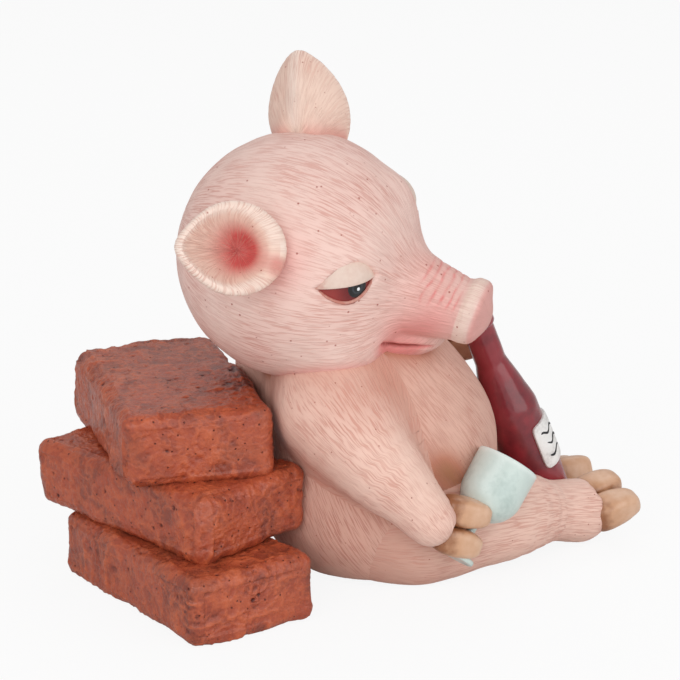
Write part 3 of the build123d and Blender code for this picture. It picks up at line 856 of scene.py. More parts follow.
# Tan-pink belly; its brown blush is painted shade in creases, under the chin and behind the glass.
BODY_SKIN = PaintedSkin(
    name="painted_polyresin_belly", cream="#DFB5A4", pink="#D6A494", line="#BC7E6E", blush_and_shade="#BC7C64",
    ink="#8F6238", freckle_r_mm=0.2,
)
# Light pink arms and legs; the brown where they leave the belly and under the chin is painted shade.
LIMB_SKIN = PaintedSkin(
    name="painted_polyresin_limb", cream="#F2D1C1", pink="#EABDAE", line="#CC8C7C", blush_and_shade="#C48A77",
    ink="#94553F", freckle_r_mm=0.24,
)
# Cream ears with pale rims and a red hollow.
EAR_SKIN = PaintedSkin(
    name="painted_polyresin_ear", cream="#F0D4C4", pink="#E8C0AF", line="#D6A292", blush_and_shade="#CC5855",
    pale="#F6E3D7", freckle_r_mm=0.3,
)
# Glossy tan horn, lighter at the tips; its brown where the horn leaves the skin and in the cleft is painted
# shade.
HOOF_HORN = PaintedRelief(
    name="painted_polyresin_hoof", low="#95603F", base="#CD9E7C", high="#DCB497", patch="#BF8E6A",
    patch_mm=5.0, grain_mm=1.6, roughness=0.32, grain_height_mm=0.05, coat=0.15,
)
# Flat cream brushed over the lid, a little pink at its edges.
LID_CREAM = PaintedRelief(
    name="painted_polyresin_eyelid", low="#C07A6C", base="#DCC2B4", high="#E6D2C5", patch="#D8B5A6",
    patch_mm=4.0, grain_mm=0.9, roughness=0.5, grain_height_mm=0.03,
)
# Burgundy gloss paint: deep wine red, redder where it is thin.
BOTTLE_GLOSS = PaintedRelief(
    name="gloss_burgundy_painted_polyresin", low="#561420", base="#8E252F", high="#A2353E",
    patch="#9A2E37", patch_mm=9.0, grain_mm=3.0, roughness=0.24, grain_height_mm=0.03, coat=0.5,
)
# White emulsion on the raised label, with a faint brush grain.
LABEL_WHITE = PaintedRelief(
    name="painted_polyresin_label", low="#B9B4B0", base="#F1F0EE", high="#FBFBFA", patch="#E7E4E1",
    patch_mm=5.0, grain_mm=0.8, roughness=0.5, grain_height_mm=0.02,
)
# Thin black brush strokes, nearly matt.
BRUSH_BLACK = PaintedRelief(
    name="black_brush_paint", low="#131316", base="#1B1B1F", high="#26262B", patch="#202024",
    patch_mm=2.0, grain_mm=0.6, roughness=0.5, grain_height_mm=0.01,
)
# Pale blue-green satin paint that stands for glass, with a painted highlight along the rim.
GLASS_MINT = PaintedRelief(
    name="pale_mint_painted_polyresin", low="#A4B7B1", base="#CAD8D2", high="#DAE4DF", patch="#C2D1CB",
    patch_mm=8.0, grain_mm=1.2, roughness=0.3, grain_height_mm=0.03, coat=0.2,
)
# Orange-brown brick with a dull sheen.
BRICK_CLAY = FiredClay(name="terracotta_painted_polyresin")
# Wet dark eye.
EYE_GLOSS = EyeLacquer(name="lacquered_painted_eye")


@functools.cache
def material_of(finish: Finish) -> bpy.types.Material:
    """The one material of a finish."""
    return finish.material()


def add_piece(
    name: str,
    grid: Array,
    finish: Finish,
    nodes: tuple[str, ...] = (),
    marks: dict[str, Array] | None = None,
) -> bpy.types.Object:
    """A closed piece in its place, dressed, riding on the figure's one body.

    Args:
        name: name of the piece.
        grid: its points in millimetres.
        finish: its finish.
        nodes: the solids that it stands for.
        marks: values on the grid that the finish reads.

    Returns:
        The new object.
    """
    mesh = closed_mesh(name, grid, marks or {})
    mesh.materials.append(material_of(finish))
    piece = new_object(name, mesh)
    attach(piece, "root")
    if nodes:
        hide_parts(*nodes)
    LOG.info("%s: %d faces", name, len(mesh.polygons))
    return piece


@dataclass(frozen=True)
class Coat:
    """The engraved hair of a skin piece: pitch and length of the strokes and how deep they are cut."""

    pitch_mm: float = 0.29
    stretch: float = 17.0
    depth_mm: float = 0.06
    barrel_mm: float = 22.0
    swirl_deg_per_mm: float = 0.0
    cuts: Lumps = Lumps(1.0, 1 / 0.35, 5)
    cut_width: float = 0.3
    lumps: Lumps = Lumps(0.12, 6.0, 9)

    def comb(self, grid: Array) -> Array:
        """Stroke space of a grid: round a barrel across the strokes, squeezed along them.

        Args:
            grid: the skin's points.

        Returns:
            A grid of vectors in which a lump of unit size is one stroke.
        """
        along = lengths_down(grid)[:, None]
        angle = around(grid.shape[1])[None, :] + np.radians(self.swirl_deg_per_mm) * along
        barrel = self.barrel_mm / self.pitch_mm
        long = np.broadcast_to(along / (self.pitch_mm * self.stretch), angle.shape)
        return np.stack([barrel * np.cos(angle), barrel * np.sin(angle), long], axis=-1)

    def engraved(self, grid: Array, fade: Array | float = 1.0) -> Array:
        """The grid with its strokes cut in along the normals.

        Args:
            grid: the skin's points.
            fade: how much of the strokes each point keeps.

        Returns:
            The moved points.
        """
        lines = np.clip(1 - np.abs(self.cuts.on(self.comb(grid))) / self.cut_width, 0, 1)
        return pushed(grid, calm_poles((self.lumps.on(grid) - self.depth_mm * lines) * fade))


@dataclass(frozen=True)
class Spot:
    """A soft sprayed spot, used for airbrush and for painted shade: where, how wide and how strong."""

    place: Triple
    radius: float
    strength: float


def sprayed(grid: Array, spots: tuple[Spot, ...]) -> Array:
    """How much sprayed colour lies on each point, for spots of airbrush and of painted shade alike: each
    spot fades out from its middle like a bell.

    Args:
        grid: points.
        spots: the spots, in the same frame.

    Returns:
        One value for each point.
    """
    total = np.zeros(grid.shape[:2])
    for spot in spots:
        total = total + spot.strength * bell(ball(grid, spot.place, 0.0), spot.radius)
    return total


# Painted brown shade on the belly behind the wine glass and the right trotter.
BELLY_SHADE = (
    Spot((1.5, -27.5, 35.0), 4.0, 0.45),
    Spot((3.5, -28.5, 32.0), 4.5, 1.15),
    Spot((7.5, -28.0, 28.5), 4.5, 1.0),
)

# Tan shadow sprayed on chest and shoulder under the chin.
CHIN_SHADE = (
    Spot((-28.0, -22.0, 58.0), 9.0, 0.25),
    Spot((-21.5, -28.0, 55.0), 10.0, 0.3),
    Spot((-10.0, -27.0, 56.0), 9.0, 0.25),
)

# Painted maroon shade on the top brick where the neck lies on it.
NECK_SHADE = (Spot((-35.8, 10.0, 50.7), 9.0, 0.8),)

# Pink airbrush in the head's frame: snout, lips and cheeks on both sides, then the ear and the bridge.
FACE_SPRAY = (
    Spot((38.5, -8.2, 1.1), 6.5, 0.55),
    Spot((38.5, 8.2, 1.1), 6.5, 0.55),
    Spot((34.0, -9.5, -5.5), 6.0, 0.45),
    Spot((34.0, 9.5, -5.5), 6.0, 0.45),
    Spot((28.8, -11.4, -5.1), 6.5, 0.5),
    Spot((28.8, 11.4, -5.1), 6.5, 0.5),
    Spot((30.0, -9.0, 6.0), 7.0, 0.12),
    Spot((30.0, 9.0, 6.0), 7.0, 0.12),
    Spot((1.3, -24.8, 17.5), 7.0, 0.5),
    Spot((34.0, 0.0, 9.0), 6.0, 0.25),
)


@dataclass
class Torso:
    """Belly and chest: two eggs and a leaning chest run together, flat where they sit."""

    belly_r: float = 28.9
    belly_rise: float = 31.0
    hips: Triple = (29.1, 27.8, 20.5)
    hips_back: float = 1.3
    hips_rise: float = 16.0
    hips_fillet: float = 9.0
    recline_deg: float = 22.3
    chest_at: Triple = (0.0, 19.0, 38.0)
    chest_r: Triple = (26.0, 24.0, 19.0)
    chest_fillet: float = 8.0
    seat_round: float = 2.0
    spine_low: float = 14.0
    spine_reach: float = 36.0
    reach: float = 60.0
    rows: tuple[int, int, int] = (44, 112, 16)
    columns: int = 420
    # Painted shade along the creases where other pieces meet the torso: a share and a width for each band.
    creases: tuple[Pair, ...] = ((0.45, 3.0), (0.5, 1.0))
    coat: Coat = Coat(barrel_mm=28.0, swirl_deg_per_mm=0.55)

    @property
    def middle(self) -> Array:
        """Centre of the belly."""
        return np.array([0, 0, self.belly_rise])

    @property
    def lean(self) -> Array:
        """The way from the belly to the head."""
        angle = np.radians(self.recline_deg)
        return np.array([-np.sin(angle), 0, np.cos(angle)])

    def skin(self, p: Array) -> Array:
        """Distance outside the torso: eggs and chest with wide fillets, cut off at the table.

        Args:
            p: points.

        Returns:
            One distance for each point, negative inside.
        """
        belly = ball(p, self.middle, self.belly_r)
        hips = egg(p, (-self.hips_back, 0, self.hips_rise), self.hips)
        spine = self.middle + np.outer(self.chest_at, self.lean)
        chest = bone(p, spine, np.array(self.chest_r))
        body = soft_union(soft_union(belly, hips, self.hips_fillet), chest, self.chest_fillet)
        return soft_cut(body, -p[..., 2], self.seat_round)

    def build(self, others: list[Field]) -> None:
        """Lays the torso's skin, with painted shade along the creases where other pieces meet it.

        Args:
            others: skins of the pieces that touch it.
        """
        spine = np.array([[0, 0, self.spine_low], self.middle + self.spine_reach * self.lean])
        grid = Sleeve(spine, self.rows, self.columns, self.reach, up=(1.0, 0.0, 0.0)).solve(self.skin)
        near = np.minimum.reduce([np.abs(other(grid)) for other in others])
        # Painted shade: darker along the creases where other pieces meet the torso, behind the glass and
        # under the chin.
        torso_crease_shade = sum(share * bell(near, width) for share, width in self.creases)
        blush_and_shade = np.clip(torso_crease_shade + sprayed(grid, BELLY_SHADE + CHIN_SHADE), 0, 2)
        marks = {"comb": self.coat.comb(grid), "blush_and_shade": blush_and_shade}
        nodes = ("torso", "neck_dowel")
        add_piece("torso_skin", self.coat.engraved(grid), BODY_SKIN, nodes, marks)


@dataclass
class Limb:
    """An arm or a leg: a curved rod that swells and tapers, filleted into the torso."""

    name: str
    points: tuple[Triple, ...]
    radii: tuple[float, ...]
    fillet: float
    way: Triple
    path_rows: int = 13
    cuff_at: float = 5.2
    cuff_round: float = 1.3
    cuff_rag: Lumps = Lumps(0.5, 1.8, 71)
    root_fillet: float = 5.0
    root_span: Pair = (10.0, 30.0)
    sunk: Pair = (0.1, 0.7)
    sunk_span: Pair = (0.55, 1.2)
    seat_round: float = 1.0
    # Painted shade where the limb runs into the torso: how strong and how wide.
    crease_shade: float = 0.62
    crease_shade_width: float = 4.5
    reach: float = 1.5
    rows: tuple[int, int, int] = (20, 120, 26)
    columns: int = 220
    coat: Coat = Coat(barrel_mm=10.0)

    def path(self) -> tuple[Array, Array]:
        """Points and radii along the limb's middle, smoothed through its joints."""
        rows = smooth_path(np.column_stack([self.points, self.radii]), self.path_rows)
        return rows[:, :3], rows[:, 3]

    def skin(self, p: Array) -> Array:
        """Distance outside the limb alone, cut off raggedly at the cuff that its hooves grow from."""
        beyond = (p - np.array(self.points[-1])) @ unit(self.way) - self.cuff_at
        return soft_cut(bone(p, *self.path()), beyond - self.cuff_rag.on(p), self.cuff_round)

    def joined(self, torso: Torso, p: Array) -> Array:
        """Limb and torso with a fillet that narrows outwards, the torso's share sunk below its own skin.

        Args:
            torso: the torso that it grows from.
            p: points.

        Returns:
            One distance for each point, negative inside.
        """
        alone = self.skin(p)
        fillet = self.fillet + self.root_fillet * (1 - ease(ball(p, self.points[0], 0.0), *self.root_span))
        low, high = self.sunk_span
        sunk = self.sunk[0] + self.sunk[1] * ease(alone, low * fillet, high * fillet)
        return soft_cut(soft_union(alone, torso.skin(p) + sunk, fillet), -p[..., 2], self.seat_round)

    def build(self, torso: Torso, nodes: tuple[str, ...], spots: tuple[Spot, ...]) -> None:
        """Lays the limb's skin, run into the torso's, and flat on the table.

        Args:
            torso: the torso that it grows from.
            nodes: the solids that it stands for.
            spots: painted shade sprayed on it.
        """
        path, radii = self.path()
        sleeve = Sleeve(path, self.rows, self.columns, float(radii.max() * self.reach))
        grid = sleeve.solve(functools.partial(self.joined, torso))
        # Painted shade: darker where the limb runs into the torso and under the chin.
        crease_shade = self.crease_shade * bell(torso.skin(grid), self.crease_shade_width)
        marks = {"comb": self.coat.comb(grid), "blush_and_shade": np.clip(crease_shade + sprayed(grid, spots), 0, 1)}
        add_piece(f"{self.name}_skin", self.coat.engraved(grid), LIMB_SKIN, nodes, marks)


@dataclass
class Trotter:
    """Two hooves side by side: blunt horns, rounded on top, drawn in towards their tips."""

    name: str
    limb: Limb
    across: Triple
    length: float
    width: float
    thickness: float
    reach: float
    cleft: float = 0.3
    spread_deg: float = 2.5
    blunt: float = 0.4
    taper: float = 0.14
    corners: float = 3.0
    flat_top: float = 0.15
    droop: float = 0.06
    # Painted shade of the hooves: darkest where they leave the cuff, lighter towards the tips, and dark in
    # the cleft.
    tip_light: float = 1.6
    tip_level: float = 0.4
    tip_most: float = 0.6
    cleft_shade: float = 0.9
    cleft_span: Pair = (0.5, 1.0)
    mottle: Lumps = Lumps(0.3, 2.2, 3)
    bumps: Lumps = Lumps(0.12, 3.0, 4)
    rows: int = 56
    columns: int = 72

    def placed(self, local: Array) -> Array:
        """Points of the trotter's frame, X across the hooves and Z out of the cuff, in the figure's."""
        turned = axes(np.array(self.limb.way), np.array(self.across))
        return np.array(self.limb.points[-1]) + local @ turned.T

    def horn(self, side: int) -> Array:
        """One hoof: rounded squares along its length, sized by a blunt superellipse and bent to the tip.

        Args:
            side: -1 or 1, across the trotter.

        Returns:
            A grid of points.
        """
        lean = np.linspace(0, np.pi, self.rows)[:, None]
        at = -np.cos(lean)
        angle = around(self.columns)[None, :]
        girth = np.sin(lean) ** self.blunt * (1 - self.taper * at) * squared(angle, self.corners)
        x = girth * np.cos(angle) * self.width / 2
        y = girth * np.sin(angle) * self.thickness / 2 * (1 - self.flat_top * np.sin(angle))
        y = y - self.droop * self.length * np.clip(at, 0, 1) ** 2
        z = at * self.length / 2 + 0 * angle
        cos, sin = np.cos(np.radians(side * self.spread_deg)), np.sin(np.radians(side * self.spread_deg))
        local = np.stack([x * cos + z * sin, y, z * cos - x * sin], axis=-1)
        return self.placed(local + np.array([side * (self.width + self.cleft) / 2, 0, self.reach]))

    def build(self, node: str) -> None:
        """Lays both hooves: the first stands for the node of the pair.

        Args:
            node: the solid that the pair stands for.
        """
        at = -np.cos(np.linspace(0, np.pi, self.rows))[:, None]
        # Painted shade: dark where the hooves leave the cuff and in the cleft between them, lighter at the
        # tips.
        tips = np.clip(at * self.tip_light + self.tip_level, -1, self.tip_most)
        for side, word in ((-1, "inner"), (1, "outer")):
            grid = self.horn(side)
            cleft = ease(-side * np.cos(around(self.columns))[None, :], *self.cleft_span)
            relief = tips - self.cleft_shade * cleft + self.mottle.on(grid)
            nodes = (node,) if side < 0 else ()
            bumpy = pushed(grid, self.bumps.on(grid))
            add_piece(f"{self.name}_{word}_hoof", bumpy, HOOF_HORN, nodes, {"relief": relief})


@dataclass(frozen=True)
class Swell:
    """A ball that swells out of the head: where, how big and how softly it runs in."""

    place: Triple
    radius: float
    fillet: float


@dataclass(frozen=True)
class Disc:
    """The snout's disc: a round-edged plate, a little domed, with two nostril pits."""

    dip_deg: float = 4.5
    radius: float = 8.2
    thick: float = 5.4
    rounding: float = 1.5
    dome: float = 1.2
    fillet: float = 1.3
    nostril_at: Pair = (3.6, 0.4)
    nostril_wide: Pair = (0.7, 1.1)
    nostril_r: float = 1.8
    nostril_round: float = 1.0
    edge_back: Pair = (-0.4, 0.3)
    edge_ring: Pair = (0.78, 0.92)
    edge_pale: float = 0.9
    face_span: Pair = (-3.4, -1.2)
    face_pink: float = 0.5
    pit_wide: Pair = (1.0, 1.8)
    pit_rise: Pair = (-3.0, -1.5)
    pit_fall: Pair = (-0.9, -0.2)
    pit_dark: float = 1.2

    def local(self, p: Array, middle: Array) -> tuple[Array, Array, Array]:
        """Places of points in the disc's own frame.

        Args:
            p: points in the head's frame.
            middle: middle of the disc's face.

        Returns:
            How far each lies out of the face, across it and up it.
        """
        dip = np.radians(self.dip_deg)
        side = np.array([0, 1.0, 0])
        ahead = np.array([np.cos(dip), 0, -np.sin(dip)])
        away = p - middle
        return away @ ahead, away @ side, away @ np.cross(ahead, side)

    def skin(self, p: Array, middle: Array) -> Array:
        """Distance outside the disc.

        Args:
            p: points in the head's frame.
            middle: middle of the disc's face.

        Returns:
            One distance for each point, negative inside.
        """
        x, y, z = self.local(p, middle)
        ring = np.hypot(y, z) / self.radius
        rim = (ring - 1) * self.radius + self.rounding
        x = x - self.dome * (np.clip(1 - ring**2, 0, 1) - 1) * (x > -self.thick / 2)
        face = np.abs(x + self.thick / 2) - self.thick / 2 + self.rounding
        plate = np.minimum(np.maximum(rim, face), 0) + np.hypot(np.maximum(rim, 0), np.maximum(face, 0))
        across = (np.abs(y) - self.nostril_at[0]) / self.nostril_wide[0]
        up = (z - self.nostril_at[1]) / self.nostril_wide[1]
        pit = np.sqrt(x**2 + across**2 + up**2) - self.nostril_r
        return soft_cut(plate - self.rounding, -pit, self.nostril_round)

    def brushed(self, p: Array, middle: Array) -> Array:
        """Brush on the disc: pale round its edge, pink over its face, dark in its nostrils.

        Args:
            p: points in the head's frame.
            middle: middle of the disc's face.

        Returns:
            The blush of each point.
        """
        x, y, z = self.local(p, middle)
        back, front = self.edge_back
        edge = ease(x, back - self.thick, front - self.thick)
        edge = edge * ease(np.hypot(y, z) / self.radius, *self.edge_ring)
        face = ease(x, *self.face_span)
        pit = bell(np.abs(y) - self.nostril_at[0], self.pit_wide[0]) * bell(z, self.pit_wide[1])
        pit = pit * window(x, self.pit_rise, self.pit_fall)
        return self.face_pink * face - self.edge_pale * edge * (1 - face) + self.pit_dark * pit


@dataclass
class Head:
    """Skull, snout, disc, jaw and cheeks in the head's own frame: X along the face, Y left, Z up."""

    middle: Triple = (-21.1, 0.0, 82.44)
    yaw_deg: float = -42.7
    pitch_deg: float = 13.2
    roll_deg: float = 22.5
    skull_r: float = 30.4
    skull_back: float = 1.0
    dip_deg: float = 0.5
    snout_at: Triple = (16.0, 29.8, 41.0)
    snout_r: Triple = (13.0, 10.2, 8.0)
    snout_drop: Triple = (0.0, 0.3, 0.5)
    snout_fillet: float = 5.0
    cheek: Swell = Swell((14.0, 13.0, -9.5), 11.2, 7.0)
    brow: Swell = Swell((15.0, 11.5, 13.5), 6.9, 5.0)
    jaw_at: Triple = (18.0, 0.0, -10.3)
    jaw_r: Triple = (18.0, 13.2, 11.5)
    chin: Swell = Swell((34.3, 0.0, -9.2), 4.0, 7.0)
    jaw_fillet: Pair = (0.8, 5.2)
    jaw_span: Pair = (19.0, 29.0)
    reach: float = 47.6
    disc: Disc = Disc()
    lips: tuple[Triple, ...] = (
        (27.0, -14.4, -6.5), (28.1, -11.1, -9.0), (30.0, -9.8, -9.6), (33.2, -7.7, -10.1),
        (36.2, -5.0, -11.0), (37.6, 0.0, -11.6),
    )
    lip_gap: float = 0.5
    lip_depth: float = 0.8
    lip_ink: float = 1.3
    lower_lip: int = 4
    lower_drop: float = 1.3
    lower_width: float = 2.2
    lower_pink: float = 0.5
    crease_rise: Pair = (31.0, 32.5)
    crease_fall: Pair = (41.0, 42.0)
    crease_side: Pair = (0.8, 1.25)
    crease_wave: Lumps = Lumps(0.5, 3.0, 61)
    crease_break: Lumps = Lumps(1.0, 1.5, 62)
    break_span: Pair = (-0.45, 0.35)
    break_left: float = 0.5
    crease_depth: float = 0.22
    crease_pitch: float = 2.0
    crease_sharp: int = 8
    crease_ink: float = 3.0
    calm_span: Pair = (41.0, 43.0)
    calm_left: float = 0.1
    # Painted shade where the head meets the torso and the limbs: how strong and how wide.
    touch_shade: float = 0.4
    touch_width: float = 2.5
    eye_seat: Triple = (0.598, 0.659, 0.456)
    eye_along: Triple = (0.717, -0.697, 0.036)
    eye_r: float = 10.5
    eye_stand: float = 0.35
    socket_deg: Triple = (43.0, 25.0, 26.0)
    socket_skew: float = 0.8
    socket_peak: float = 1.13
    socket_power: float = 0.8
    socket_edge: Pair = (-2.0, 3.5)
    socket_depth: float = 0.7
    spine_short: float = 3.0
    ray: float = 45.0
    rows: tuple[int, int, int] = (70, 148, 22)
    columns: int = 400
    coat: Coat = Coat(barrel_mm=24.0)

    @property
    def turned(self) -> Array:
        """Matrix from the head's frame to the figure's."""
        return turn(self.yaw_deg, self.pitch_deg, self.roll_deg)

    @property
    def nose(self) -> Array:
        """The way the snout points, in the head's frame."""
        angle = np.radians(self.dip_deg)
        return np.array([np.cos(angle), 0, -np.sin(angle)])

    def placed(self, local: Array) -> Array:
        """Points of the head's frame in the figure's."""
        return np.array(self.middle) + local @ self.turned.T

    def placed_skin(self, p: Array) -> Array:
        """Distance outside the head, in the figure's frame."""
        return self.skin((p - np.array(self.middle)) @ self.turned)

    def eye_frame(self, side: Side) -> tuple[Array, Array]:
        """Centre of an eyeball and its axes, in the head's frame.

        Args:
            side: which eye.

        Returns:
            The centre, and a matrix whose columns are along the lids towards the snout, up, and out.
        """
        out = unit(np.array(self.eye_seat) * (1, side.value, 1))
        towards = np.array(self.eye_along) * (1, side.value, 1)
        x = unit(towards - towards @ out * out)
        above = -side.value * np.cross(out, x)
        return out * (self.skull_r - self.eye_r + self.eye_stand), np.stack([x, above, out], axis=1)

    def skin(self, p: Array) -> Array:
        """Distance outside the head, in its own frame: each form filleted into the skull.

        Args:
            p: points.

        Returns:
            One distance for each point, negative inside.
        """
        spine = np.outer(self.snout_at, self.nose) - np.outer(self.snout_drop, (0, 0, 1))
        snout = bone(p, spine, np.array(self.snout_r))
        face = soft_union(ball(p, (-self.skull_back, 0, 0), self.skull_r), snout, self.snout_fillet)
        for swell in (self.cheek, self.brow):
            face = soft_union(face, ball(folded(p, Side.LEFT), swell.place, swell.radius), swell.fillet)
        chin = ball(p, self.chin.place, self.chin.radius)
        jaw = soft_union(egg(p, self.jaw_at, self.jaw_r), chin, self.chin.fillet)
        run = self.jaw_fillet[0] + self.jaw_fillet[1] * (1 - ease(p[..., 0], *self.jaw_span))
        face = soft_union(face, jaw, run)
        return soft_union(face, self.disc.skin(p, self.reach * self.nose), self.disc.fillet)

    def wrinkled(self, grid: Array) -> tuple[Array, Array]:
        """How far the skin sinks: thin creases over the top of the snout and a groove along the mouth.

        Args:
            grid: the skin's points in the head's frame.

        Returns:
            The depth of the creases, and the mouth's groove as a share of its depth.
        """
        along = grid @ self.nose
        side = np.arctan2(np.abs(grid[..., 1]), grid[..., 2])
        shown = window(along, self.crease_rise, self.crease_fall) * (1 - ease(side, *self.crease_side))
        wavy = along + self.crease_wave.on(grid) + side**2
        broken = ease(self.crease_break.on(grid), *self.break_span)
        broken = self.break_left + (1 - self.break_left) * broken
        lines = np.abs(np.cos(np.pi * wavy / self.crease_pitch)) ** self.crease_sharp
        away = bone(folded(grid, Side.RIGHT), np.array(self.lips), np.zeros(len(self.lips)))
        return self.crease_depth * lines * shown * broken, bell(away, self.lip_gap)

    def below_lips(self, grid: Array) -> Array:
        """Distance from a line along the lower lip, a little under the mouth and towards its corner."""
        line = np.array(self.lips[: self.lower_lip]) - np.array([0, 0, self.lower_drop])
        return bone(folded(grid, Side.RIGHT), line, np.zeros(len(line)))

    def socketed(self, grid: Array) -> Array:
        """The grid with its skin let down behind the eyeballs, inside a lens-shaped outline.

        Args:
            grid: the skin's points in the head's frame.

        Returns:
            The moved points.
        """
        corner, high, low = self.socket_deg
        for side in Side:
            middle, frame_axes = self.eye_frame(side)
            local = (grid - middle) @ frame_axes
            reach = np.linalg.norm(local, axis=-1)
            across = np.degrees(np.arctan2(local[..., 0], local[..., 2])) / corner
            up = np.degrees(np.arcsin(np.clip(local[..., 1] / np.maximum(reach, TINY), -1, 1)))
            lens = np.clip(1 - across**2, -1, 1)
            skewed = lens * (1 + self.socket_skew * across) / self.socket_peak
            brow = np.clip(skewed, 0, 1) ** self.socket_power
            inside = np.minimum(high * brow - up, up + low * lens)
            sink = ease(inside, *self.socket_edge) * (local[..., 2] > 0)
            drop = (reach - np.minimum(reach, self.eye_r - self.socket_depth)) * sink
            grid = grid - drop[..., None] * unit(local) @ frame_axes.T
        return grid

    def build(self, others: list[Field], spots: tuple[Spot, ...]) -> None:
        """Lays the head's skin.

        Args:
            others: skins of the pieces that touch it, in the figure's frame.
            spots: airbrush on it, in the head's frame.
        """
        spine = np.outer([0.0, self.reach - self.spine_short], self.nose)
        grid = Sleeve(spine, self.rows, self.columns, self.ray).solve(self.skin)
        comb = self.coat.comb(grid)
        creases, mouth = self.wrinkled(grid)
        calm = (1 - ease(grid @ self.nose, *self.calm_span)) * (1 - self.calm_left) + self.calm_left
        brushed = self.disc.brushed(grid, self.reach * self.nose)
        lower = self.lower_pink * bell(self.below_lips(grid), self.lower_width)
        grid = pushed(grid, -(creases + self.lip_depth * mouth))
        grid = self.socketed(self.coat.engraved(grid, calm))
        world = self.placed(grid)
        near = np.minimum.reduce([np.abs(other(world)) for other in others])
        # Painted shade: darker pink where the head meets the torso and the limbs.
        touch = self.touch_shade * bell(near, self.touch_width)
        blush_and_shade = np.clip(sprayed(grid, spots) + touch + lower + brushed, -1, 1)
        blush_and_shade = np.clip(blush_and_shade + self.crease_ink * creases + self.lip_ink * mouth, -1, 2)
        add_piece("head_skin", world, HEAD_SKIN, ("head",), {"comb": comb, "blush_and_shade": blush_and_shade})


@dataclass
class Ear:
    """A cupped ear: pointed-oval rings from its root out to a thick rim, then down into the cup.

    Each ring has a size, a rise along the way the cup faces, and a shift towards the tip.
    """

    side: Side
    middle: Triple
    way: Triple
    face: Triple
    tip: float = 15.0
    heel: float = 13.0
    half: float = 11.0
    point: float = 0.36
    root_pink: float = 0.4
    root_width: float = 2.5
    deep_span: Pair = (0.12, 0.9)
    deep_along: Pair = (-7.0, 8.0)
    deep_fade: float = 0.9
    deep_red: float = 1.3
    rim_low: float = 0.4
    rim_width: float = 1.6
    rim_span: Pair = (0.02, 0.2)
    rim_pale: float = 0.65
    heel_spray: Spot = Spot((-10.0, 4.0, -0.5), 4.0, 0.7)
    vein_width: float = 1.6
    vein_pale: float = 0.6
    rows: int = 150
    columns: int = 240
    rings: tuple[Triple, ...] = (
        (0.0, -14.0, -6.0), (0.42, -14.0, -6.0), (0.66, -10.0, -3.6), (0.87, -5.6, -1.2),
        (0.98, -2.4, -0.1), (1.0, -0.9, 0.0), (0.95, 0.0, 0.2), (0.86, 0.2, 0.7), (0.77, -0.5, 1.2),
        (0.64, -2.2, 0.8), (0.46, -4.6, -0.6), (0.26, -6.8, -2.3), (0.1, -7.7, -3.2), (0.0, -7.9, -3.4),
    )
    coat: Coat = Coat(barrel_mm=11.0, depth_mm=0.07)

    def local(self) -> tuple[Array, Array]:
        """The ear in its own frame: X to the tip, Y across, Z the way the cup faces.

        Returns:
            The points, and how far down the cup each row lies from 0 at the rim to 1 at the bottom.
        """
        path = smooth_path(np.array(self.rings), self.rows)
        size, rise, shift = (path[:, k, None] for k in range(3))
        size = np.maximum(size, 0)
        size[[0, -1]] = 0
        angle = around(self.columns)[None, :]
        ahead = np.cos(angle)
        long = np.where(ahead > 0, self.tip, self.heel) * ahead
        wide = self.half * np.sin(angle) * (1 - self.point * np.clip(ahead, 0, 1) ** 2)
        points = np.stack([size * long + shift, size * wide, rise + 0 * angle], axis=-1)
        crest = int(np.argmax(path[:, 1]))
        down = np.clip((path[crest, 1] - path[:, 1]) / (path[crest, 1] - path[-1, 1]), 0, 1)
        down[:crest] = 0
        return points, down[:, None] + 0 * angle

    def build(self, head: Head) -> None:
        """Lays the ear on the head, red deep inside its cup.

        Args:
            head: the head that it grows from.
        """
        grid, down = self.local()
        placed = np.array(self.middle) + grid @ axes(np.array(self.face), np.array(self.way)).T
        root = self.root_pink * bell(ball(placed, (0, 0, 0), head.skull_r), self.root_width)
        deep = ease(down, *self.deep_span) * (1 - self.deep_fade * ease(grid[..., 0], *self.deep_along))
        rim = bell(grid[..., 2] + self.rim_low, self.rim_width) * (1 - ease(down, *self.rim_span))
        heel = bell(ball(grid, self.heel_spray.place, 0.0), self.heel_spray.radius)
        vein = bell(grid[..., 1], self.vein_width) * (down <= 0)
        pink = self.deep_red * deep + root + self.heel_spray.strength * heel
        pale = self.rim_pale * rim * (1 - heel) + self.vein_pale * vein
        marks = {"comb": self.coat.comb(grid), "blush_and_shade": np.clip(pink - pale, -1, 1)}
        name = f"{self.side.word}_ear"
        world = head.placed(self.coat.engraved(placed))
        add_piece(f"{name}_skin", world, EAR_SKIN, (name,), marks)


